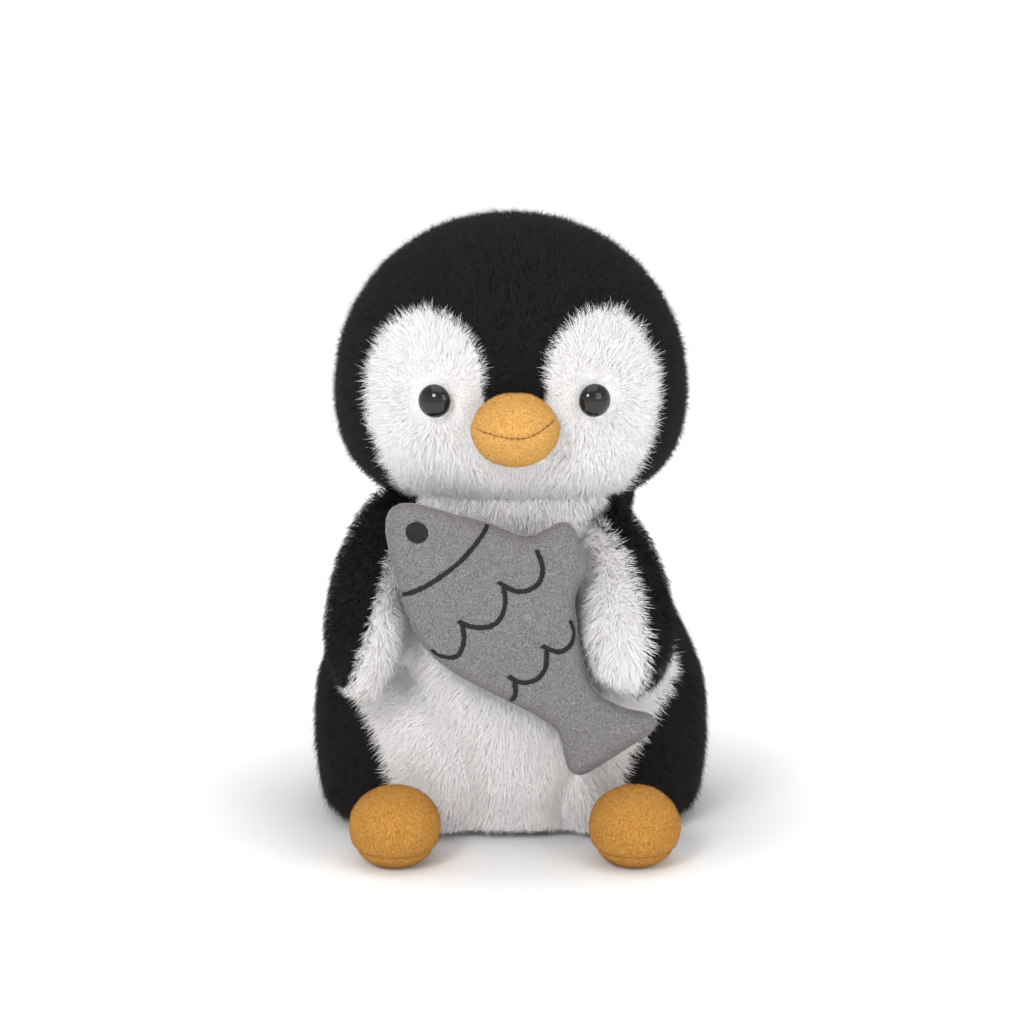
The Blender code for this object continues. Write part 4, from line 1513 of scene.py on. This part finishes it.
            pile = Strands(density=4.0, length=6.0 * MM, seed=41 + side.value).build(
                f"back_pile_{side.word}", form, self.brushed, grows, shop.finish(BLACK_PILE), self.above_floor
            )
            shop.attach(pile, "torso", "black_pile")

    @staticmethod
    def above_floor(places: Array) -> Array:
        """Shorter next to the surface it sits on."""
        return np.clip(places[:, 2] / (8 * MM), 0.5, 1)

    def _belly(self, form: bpy.types.Object) -> None:
        """The white belly and its pile."""
        shop = self.shop

        def is_belly(places: Array) -> Array:
            """Inside the belly, off the base."""
            return (self.belly_depth(places) >= 0) & ~self.is_base(places)

        cloth = panel_of("belly_cloth", form, is_belly, shop.finish(WHITE_BACKING))
        shop.attach(cloth, "torso", "white_pile", "belly_panel", fill=0.75)

        def grows(places: Array, normals: Array) -> Array:
            """Inside the belly, off the base."""
            here = (self.belly_depth(places) > 0) & ~((places[:, 2] < 3 * MM) & (normals[:, 2] < -0.8))
            return here.astype(float)

        def reach(places: Array) -> Array:
            """Longer along the edge."""
            edge = np.clip(1.0 - self.belly_depth(places) / (40 * MM), 0.85, 1.0)
            return edge * self.above_floor(places)

        strands = Strands(
            density=6.0,
            length=6.2 * MM,
            lift=0.6,
            width=0.2 * MM,
            clump=0.08,
            soften=0.95,
            wild=0.22,
            seed=51,
        )
        pile = strands.build("belly_pile", form, self.parted, grows, shop.finish(WHITE_PILE), reach)
        shop.attach(pile, "torso", "white_pile")

    def _underside(self) -> None:
        """The small pieces that stay as the CAD made them."""
        self.shop.keep("pellet_bag", PELLET_CLOTH)
        self.shop.keep("care_label", SATIN_TAPE)
        self.shop.keep("neck_stuffing", FILLING)


@dataclass
class Neck:
    """The soft collar of cloth and pile that joins head and torso."""

    shop: Workshop
    rings: tuple[tuple[float, float, float], ...] = (
        (101, 38, 31), (106, 41.5, 36), (111, 42, 39), (116, 42, 41), (121, 43, 42), (126, 43, 41)
    )
    bend_from: float = 106 * MM
    bend_to: float = 122 * MM

    def build(self) -> None:
        """Makes the collar's cloth, and its white and black pile."""
        shop = self.shop
        bm = bmesh.new()
        first = bmesh.ops.create_circle(bm, segments=64, radius=1)["verts"]
        edges = list(bm.edges)
        rows = [first]
        for _ in self.rings[1:]:
            new = bmesh.ops.extrude_edge_only(bm, edges=edges)["geom"]
            rows.append([g for g in new if isinstance(g, bmesh.types.BMVert)])
            edges = [g for g in new if isinstance(g, bmesh.types.BMEdge)]
        for row, (height, wide, deep) in zip(rows, self.rings):
            for vertex in row:
                angle = math.atan2(vertex.co.y, vertex.co.x)
                place = (math.cos(angle) * wide, TORSO_Y / MM - 1 + math.sin(angle) * deep, height)
                vertex.co = Vector(place) * MM
        bmesh.ops.recalc_face_normals(bm, faces=bm.faces)
        form = object_of("collar_form", bm)
        white = panel_of("collar_front_cloth", form, self.is_front, shop.finish(WHITE_BACKING))
        black = panel_of("collar_back_cloth", form, lambda p: ~self.is_front(p), shop.finish(BLACK_BACKING))

        def in_front(places: Array, normals: Array) -> Array:
            """White pile grows here."""
            return self.is_front(places).astype(float)

        def behind(places: Array, normals: Array) -> Array:
            """Black pile grows here."""
            return 1.0 - self.is_front(places)

        front = Strands(density=7.0, length=5.5 * MM, width=0.2 * MM, clump=0.12, soften=0.9, seed=101).build(
            "collar_front_pile", form, down, in_front, shop.finish(WHITE_PILE)
        )
        back = Strands(density=4.0, length=5.5 * MM, seed=102).build(
            "collar_back_pile", form, down, behind, shop.finish(BLACK_PILE)
        )
        slots = ("white_pile", "black_pile", "white_pile", "black_pile")
        for piece, slot in zip((white, black, front, back), slots):
            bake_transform(piece)
            log.info("%s: %d faces from torso to neck", piece.name, len(piece.data.polygons))
        bpy.data.objects.remove(form)

    @staticmethod
    def is_front(places: Array) -> Array:
        """On the white front of the collar."""
        return (np.abs(places[:, 0]) < 32 * MM) & (places[:, 1] < TORSO_Y - 6 * MM)


@dataclass
class Tail:
    """The short black tail."""

    shop: Workshop

    def build(self) -> None:
        """Makes the tail."""
        shop = self.shop
        nodes = ("tail_upper", "tail_lower", "tail_stuffing")
        form = Pad(nodes, voxel=2.0 * MM, inset=0.2 * MM, swell=0.8 * MM).build("tail_cloth", shop.cad)
        move_points(form, points_of(form.data) - np.array([0, 3.5 * MM, 0]))
        form.data.materials.append(shop.finish(BLACK_BACKING))

        def back(places: Array, normals: Array) -> Array:
            """Brushed towards the tail's tip."""
            return np.tile(np.array([0.0, 1.0, -0.4]), (len(places), 1))

        strands = Strands(density=4.2, length=5.0 * MM, seed=61)
        pile = strands.build("tail_pile", form, back, everywhere, shop.finish(BLACK_PILE), self.trimmed)
        shop.attach(form, "tail", "black_pile", *nodes, fill=0.7)
        shop.attach(pile, "tail", "black_pile")

    @staticmethod
    def trimmed(places: Array) -> Array:
        """Shorter next to the surface it sits on."""
        return np.clip(places[:, 2] / (10 * MM), 0.3, 1)


@dataclass
class Wing:
    """A wing: black outside, long white pile on the palm."""

    shop: Workshop
    side: Side
    turn: float
    seam: tuple[float, float, float] = (0.0, 0.0, 0.0)
    plump: float = 0.0
    raised: float = 10 * MM
    spread: float = -3 * MM
    back: float = 13 * MM
    fuller: float = 0.28

    @property
    def palm(self) -> Array:
        """The direction that the palm faces."""
        angle = math.radians(self.turn)
        return np.array([-self.side.value * math.sin(angle), -math.cos(angle), 0.0])

    def palm_depth(self, form_points: Array) -> Callable[[Array], Array]:
        """Makes the test of how far onto the palm's side a place is."""
        heights = np.linspace(form_points[:, 2].min(), form_points[:, 2].max(), 24)
        spans = []
        for height in heights:
            near = form_points[np.abs(form_points[:, 2] - height) < 4 * MM]
            spans.append((near @ self.palm).min() / 2 + (near @ self.palm).max() / 2)

        def depth(places: Array) -> Array:
            """Above 0 on the palm's side of the wing's middle."""
            return places @ self.palm - np.interp(places[:, 2], heights, spans)

        return depth

    def seam_at(self, places: Array) -> Array:
        """How far from the wing's middle the seam runs, from the tip to the shoulder."""
        return np.interp(places[:, 2], (58 * MM, 105 * MM, 120 * MM), self.seam)

    def shouldered(self, places: Array) -> Array:
        """Places with the wing's top made fuller, and drawn up, out and back to the shoulder."""
        share = np.clip((places[:, 2:] - 88 * MM) / (26 * MM), 0, 1)
        heights = np.linspace(places[:, 2].min(), places[:, 2].max(), 16)
        middles = [places[np.abs(places[:, 2] - height) < 4 * MM, :2].mean(0) for height in heights]
        middle = np.stack([np.interp(places[:, 2], heights, [m[k] for m in middles]) for k in (0, 1)], axis=1)
        fuller = places.copy()
        fuller[:, :2] += (places[:, :2] - middle) * share * self.fuller
        return fuller + share**1.2 * np.array([self.side.value * self.spread, self.back, self.raised])

    def build(self) -> None:
        """Makes the wing."""
        shop, word = self.shop, self.side.word
        body = f"wing_{word}"
        nodes = (f"{body}_outer", f"{body}_lining", f"{body}_stuffing")
        form = Pad(nodes, voxel=2.8 * MM, inset=1.5 * MM, swell=1.0 * MM).build(f"{body}_form", shop.cad)
        places = self.shouldered(points_of(form.data))
        depth = self.palm_depth(places)
        share = np.clip(depth(places) / (8 * MM), 0, 1) * np.clip((110 * MM - places[:, 2]) / (30 * MM), 0, 1)
        move_points(form, places + self.palm * (share * self.plump)[:, None])

        def is_palm(places: Array) -> Array:
            """On the palm's side of the seam."""
            return depth(places) >= self.seam_at(places)

        outer = panel_of(f"{body}_outer_cloth", form, lambda p: ~is_palm(p), shop.finish(BLACK_BACKING))
        lining = panel_of(f"{body}_lining_cloth", form, is_palm, shop.finish(WHITE_BACKING))
        shop.attach(outer, body, "black_pile", nodes[0], nodes[2], fill=0.7)
        shop.attach(lining, body, "white_pile", nodes[1], fill=0.7)
        palm = self.palm

        def outwards(places: Array, normals: Array) -> Array:
            """The palm's pile lies down and over the seam."""
            away = -palm * np.clip(1.0 - (depth(places) - self.seam_at(places)) / (9 * MM), 0, 1)[:, None]
            return away * 0.9 + normals * 0.2 + np.array([0, 0, -0.8])

        def on_back(places: Array, normals: Array) -> Array:
            """On the black side."""
            return (depth(places) < self.seam_at(places) + 0.2 * MM).astype(float)

        def on_palm(places: Array, normals: Array) -> Array:
            """On the white side."""
            return (depth(places) > self.seam_at(places)).astype(float)

        seed = 71 + self.side.value
        black = Strands(density=4.6, length=5.4 * MM, most=40000, seed=seed).build(
            f"{body}_outer_pile", form, down, on_back, shop.finish(BLACK_PILE)
        )
        shop.attach(black, body, "black_pile")
        white = Strands(
            density=6.4,
            length=6.2 * MM,
            lift=0.58,
            width=0.2 * MM,
            clump=0.1,
            soften=0.95,
            wild=0.22,
            seed=seed + 4,
            most=40000,
        )
        pile = white.build(f"{body}_lining_pile", form, outwards, on_palm, shop.finish(WHITE_PILE))
        shop.attach(pile, body, "white_pile")
        bpy.data.objects.remove(form)


@dataclass
class Foot:
    """A plump orange foot with short nap and a seam above the sole."""

    shop: Workshop
    side: Side
    seam: float = 6 * MM

    def build(self) -> None:
        """Makes the foot."""
        shop, body = self.shop, f"foot_{self.side.word}"
        nodes = (f"{body}_upper", f"{body}_sole", f"{body}_stuffing")
        pad = Pad(nodes, voxel=1.8 * MM, inset=-1.1 * MM, swell=0.9 * MM, polish=7)
        form = pad.build(f"{body}_form", shop.cad)
        places, normals = points_of(form.data), normals_of(form.data)
        groove = np.exp(-(((places[:, 2] - self.seam) / (0.9 * MM)) ** 2)) * 0.6 * MM
        places = places - normals * groove[:, None]
        places[:, 2] = np.maximum(places[:, 2], 0.2 * MM)
        move_points(form, places)
        upper = panel_of(f"{body}_upper_cloth", form, lambda p: p[:, 2] >= self.seam, shop.finish(ORANGE_NAP))
        sole = panel_of(f"{body}_sole_cloth", form, lambda p: p[:, 2] < self.seam, shop.finish(ORANGE_NAP))
        shop.attach(upper, body, "orange_nap", nodes[0], nodes[2], fill=0.9)
        shop.attach(sole, body, "orange_nap", nodes[1], fill=0.9)
        nap = nap_on(f"{body}_nap", form, shop.finish(ORANGE_NAP), 9.0, 81 + self.side.value)
        places = points_of(nap.data)
        places[:, 2] = np.maximum(places[:, 2], 0.1 * MM)
        move_points(nap, places)
        shop.attach(nap, body, "orange_nap")
        bpy.data.objects.remove(form)


@dataclass
class Fish:
    """The flat plush fish with its embroidered eye, gill and scales."""

    shop: Workshop
    lean: float = math.atan(0.1056)
    top_y: float = TORSO_Y - 62 * MM
    top_z: float = 120 * MM
    thread: float = 1.9 * MM

    @property
    def place(self) -> Matrix:
        """The seam plane: local Y is through the fish's thickness."""
        lift = Matrix.Translation((0, 0, -self.top_z))
        return Matrix.Translation((0, self.top_y, self.top_z)) @ Matrix.Rotation(-self.lean, 4, "X") @ lift

    def build(self) -> None:
        """Makes the fish."""
        shop = self.shop
        nodes = ("fish_front", "fish_back", "fish_stuffing")
        pad = Pad(nodes, voxel=1.7 * MM, inset=0.2 * MM, swell=0.6 * MM, pressure=3.0, polish=4)
        form = pad.build("fish_form", shop.cad)

        def is_front(places: Array) -> Array:
            """In front of the seam plane."""
            return self._local(places)[:, 1] < 0

        face = panel_of("fish_front_cloth", form, is_front, shop.finish(GREY_NAP))
        back = panel_of("fish_back_cloth", form, lambda p: ~is_front(p), shop.finish(GREY_NAP))
        shop.attach(face, "fish", "grey_nap", "fish_front", "fish_stuffing", fill=0.5)
        shop.attach(back, "fish", "grey_nap", "fish_back", fill=0.5)
        nap = nap_on("fish_nap", form, shop.finish(GREY_NAP), 5.0, 91)
        shop.attach(nap, "fish", "grey_nap")
        self._seam(form)
        self._embroidery(form)
        shop.keep("fish_tack_thread", GREY_THREAD)
        bpy.data.objects.remove(form)

    def _local(self, places: Array) -> Array:
        """Places in the fish's own frame."""
        turned = np.array(self.place.inverted())
        return places @ turned[:3, :3].T + turned[:3, 3]

    def _seam(self, form: bpy.types.Object) -> None:
        """The stitched edge, a thin lighter ridge round the outline."""
        tree = surface_of(form)
        route = []
        for x, z in FISH.points[::2]:
            spot = self.place @ Vector((x, 0, z))
            hit, normal, _, _ = tree.find_nearest(spot)
            route.append(hit + normal * 0.05 * MM)
        finish = self.shop.finish(GREY_THREAD)
        ridge = tube("fish_seam_ridge", np.array(route), 0.38 * MM, finish, closed=True)
        self.shop.attach(ridge, "fish", "grey_nap")

    def _embroidery(self, form: bpy.types.Object) -> None:
        """The satin eye, the gill line and the two rows of scales."""
        shop = self.shop
        tree = surface_of(form)
        self._sewn("fish_gill_stitches", GILL, tree, "fish_gill_thread")
        self._sewn("fish_upper_scale_stitches", UPPER_SCALES, tree, "fish_scale_thread_upper")
        self._sewn("fish_lower_scale_stitches", LOWER_SCALES, tree, "fish_scale_thread_lower")
        needle = Stitcher()
        middle, radius = Vector((-34.6 * MM, 0, 117.4 * MM)), 3.8 * MM
        slant = Vector((0.5, 0, 0.87))
        across = Vector((0.87, 0, -0.5))
        for offset in np.arange(-radius + 0.2 * MM, radius, 0.42 * MM):
            half = math.sqrt(max(radius**2 - offset**2, 0))
            spot = middle + across * offset
            hit, normal = self._touch(tree, spot.x, spot.z)
            if hit is not None:
                along = (self.place.to_3x3() @ slant).normalized()
                needle.sew(hit + normal * 0.15 * MM, along, normal, half * 2 + 0.5 * MM, 0.95 * MM)
        eye = needle.done("fish_eye_stitches", shop.finish(BLACK_THREAD))
        shop.attach(eye, "fish", "dark_thread", "fish_eye_patch")

    def _touch(self, tree: BVHTree, x: float, z: float) -> tuple[Vector | None, Vector | None]:
        """The place on the fish's front at a place of its drawing."""
        towards = self.place.to_3x3() @ Vector((0, 1, 0))
        hit, normal, _, _ = tree.ray_cast(self.place @ Vector((x, -30 * MM, z)), towards)
        return hit, normal

    def _sewn(self, name: str, lines: Iterable[Sequence[Sequence[float]]], tree: BVHTree, node: str) -> None:
        """Sews lines of slanted satin stitches.

        Args:
            name: the stitches' name.
            lines: the lines' points in the fish's drawing, in millimetres.
            tree: the fish's surface.
            node: the CAD thread that they stand for.
        """
        needle = Stitcher()
        rng = np.random.default_rng(len(name))
        for line in lines:
            flat = evenly(curve_through(line, 6, False) * MM, 0.42 * MM)
            touched = [self._touch(tree, x, z) for x, z in flat]
            for k in range(1, len(flat) - 1):
                hit, normal = touched[k]
                before, after = touched[k - 1][0], touched[k + 1][0]
                if hit is None or before is None or after is None:
                    continue
                run = (after - before).normalized()
                side = normal.cross(run).normalized()
                slant = (side + run * rng.uniform(0.35, 0.75)).normalized()
                length = self.thread * rng.uniform(0.9, 1.25)
                needle.sew(hit + normal * 0.22 * MM, slant, normal, length, 0.75 * MM)
        made = needle.done(name, self.shop.finish(BLACK_THREAD))
        self.shop.attach(made, "fish", "dark_thread", node)


@dataclass
class Studio:
    """The pale floor, the soft lights and the camera."""

    distance: float = 1.065
    elevation: float = 11.0
    azimuth: float = -1.5
    target: tuple[float, float, float] = (0.5 * MM, TORSO_Y, 112 * MM)
    lens: float = 100.0

    def build(self) -> None:
        """Sets the scene up."""
        self._world()
        self._floor()
        self._camera()
        self._lamp("key", (-0.45, -0.95, 0.75), 0.32, 5.5)
        self._lamp("fill", (0.75, -0.75, 0.55), 0.6, 2.4)
        self._lamp("top", (0.0, -0.1, 1.0), 0.9, 2.8)

    def _world(self) -> None:
        """White along the horizon and a little dimmer overhead."""
        world = bpy.data.worlds.new("studio")
        world.use_nodes = True
        tree = world.node_tree
        look = tree.nodes.new("ShaderNodeTexCoord")
        parts = tree.nodes.new("ShaderNodeSeparateXYZ")
        tree.links.new(look.outputs["Generated"], parts.inputs[0])
        share = ((Maths(tree, parts.outputs[2]) - 0.2) * 5.0).clamped()
        tree.links.new((1.0 - share * 0.4).socket, tree.nodes["Background"].inputs["Strength"])
        tree.nodes["Background"].inputs["Color"].default_value = (1, 1, 1, 1)
        bpy.context.scene.world = world
        bpy.context.scene.view_settings.view_transform = "Standard"

    def _floor(self) -> None:
        """A white floor that glows as painted light: no glow near the toy, full glow farther out, so the far
        floor reads pure white.
        """
        bm = bmesh.new()
        bmesh.ops.create_grid(bm, x_segments=1, y_segments=1, size=40.0)
        bench = Bench("floor_white")
        far = bench.node("ShaderNodeVectorMath", {"operation": "LENGTH"}, {0: bench.place()}, "Value")
        bench.feed(
            Base_Color=(0.88, 0.88, 0.88, 1),
            Roughness=0.9,
            # Painted light: the floor has no glow within 75 mm of the middle and full glow beyond about 186
            # mm, so the floor round the toy stays darker.
            Emission_Color=bench.mix(((far - 0.075) * 9.0).clamped(), (0.0, 0.0, 0.0), (1.0, 1.0, 1.0)),
            Emission_Strength=0.46,
        )
        floor = object_of("floor", bm, bench.material)

    def _camera(self) -> None:
        """The camera at its distance and height."""
        up, round_ = math.radians(self.elevation), math.radians(self.azimuth)
        away = Vector((math.sin(round_) * math.cos(up), -math.cos(round_) * math.cos(up), math.sin(up)))
        data = bpy.data.cameras.new("camera")
        data.lens = self.lens
        data.sensor_width = 36
        data.clip_start = 0.05
        camera = bpy.data.objects.new("camera", data)
        camera.location = Vector(self.target) + away * self.distance
        camera.rotation_euler = (-away).to_track_quat("-Z", "Y").to_euler()
        bpy.context.scene.collection.objects.link(camera)
        bpy.context.scene.camera = camera

    @staticmethod
    def _lamp(name: str, place: Sequence[float], size: float, power: float) -> None:
        """Adds a square soft light that looks at the toy."""
        data = bpy.data.lights.new(name, "AREA")
        data.shape = "SQUARE"
        data.size = size
        data.energy = power
        lamp = bpy.data.objects.new(name, data)
        lamp.location = place
        lamp.rotation_euler = (Vector((0, 0, 0.11)) - Vector(place)).to_track_quat("-Z", "Y").to_euler()
        bpy.context.scene.collection.objects.link(lamp)


def main() -> None:
    """Builds the whole toy and its studio."""
    for old in list(bpy.data.objects):
        bpy.data.objects.remove(old)
    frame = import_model()
    shop = Workshop(frame["nodes"])
    Studio().build()
    Torso(shop).build()
    Neck(shop).build()
    Tail(shop).build()
    Head(shop).build()
    Wing(shop, Side.LEFT, 68.0, seam=(2.5 * MM, 3.5 * MM, 7 * MM), plump=5 * MM).build()
    Wing(
        shop, Side.RIGHT, 100.0, seam=(-4.5 * MM, 3.5 * MM, 16 * MM), raised=14 * MM, spread=-2 * MM
    ).build()
    Foot(shop, Side.LEFT).build()
    Foot(shop, Side.RIGHT).build()
    Fish(shop).build()


if __name__ == "__main__":
    main()
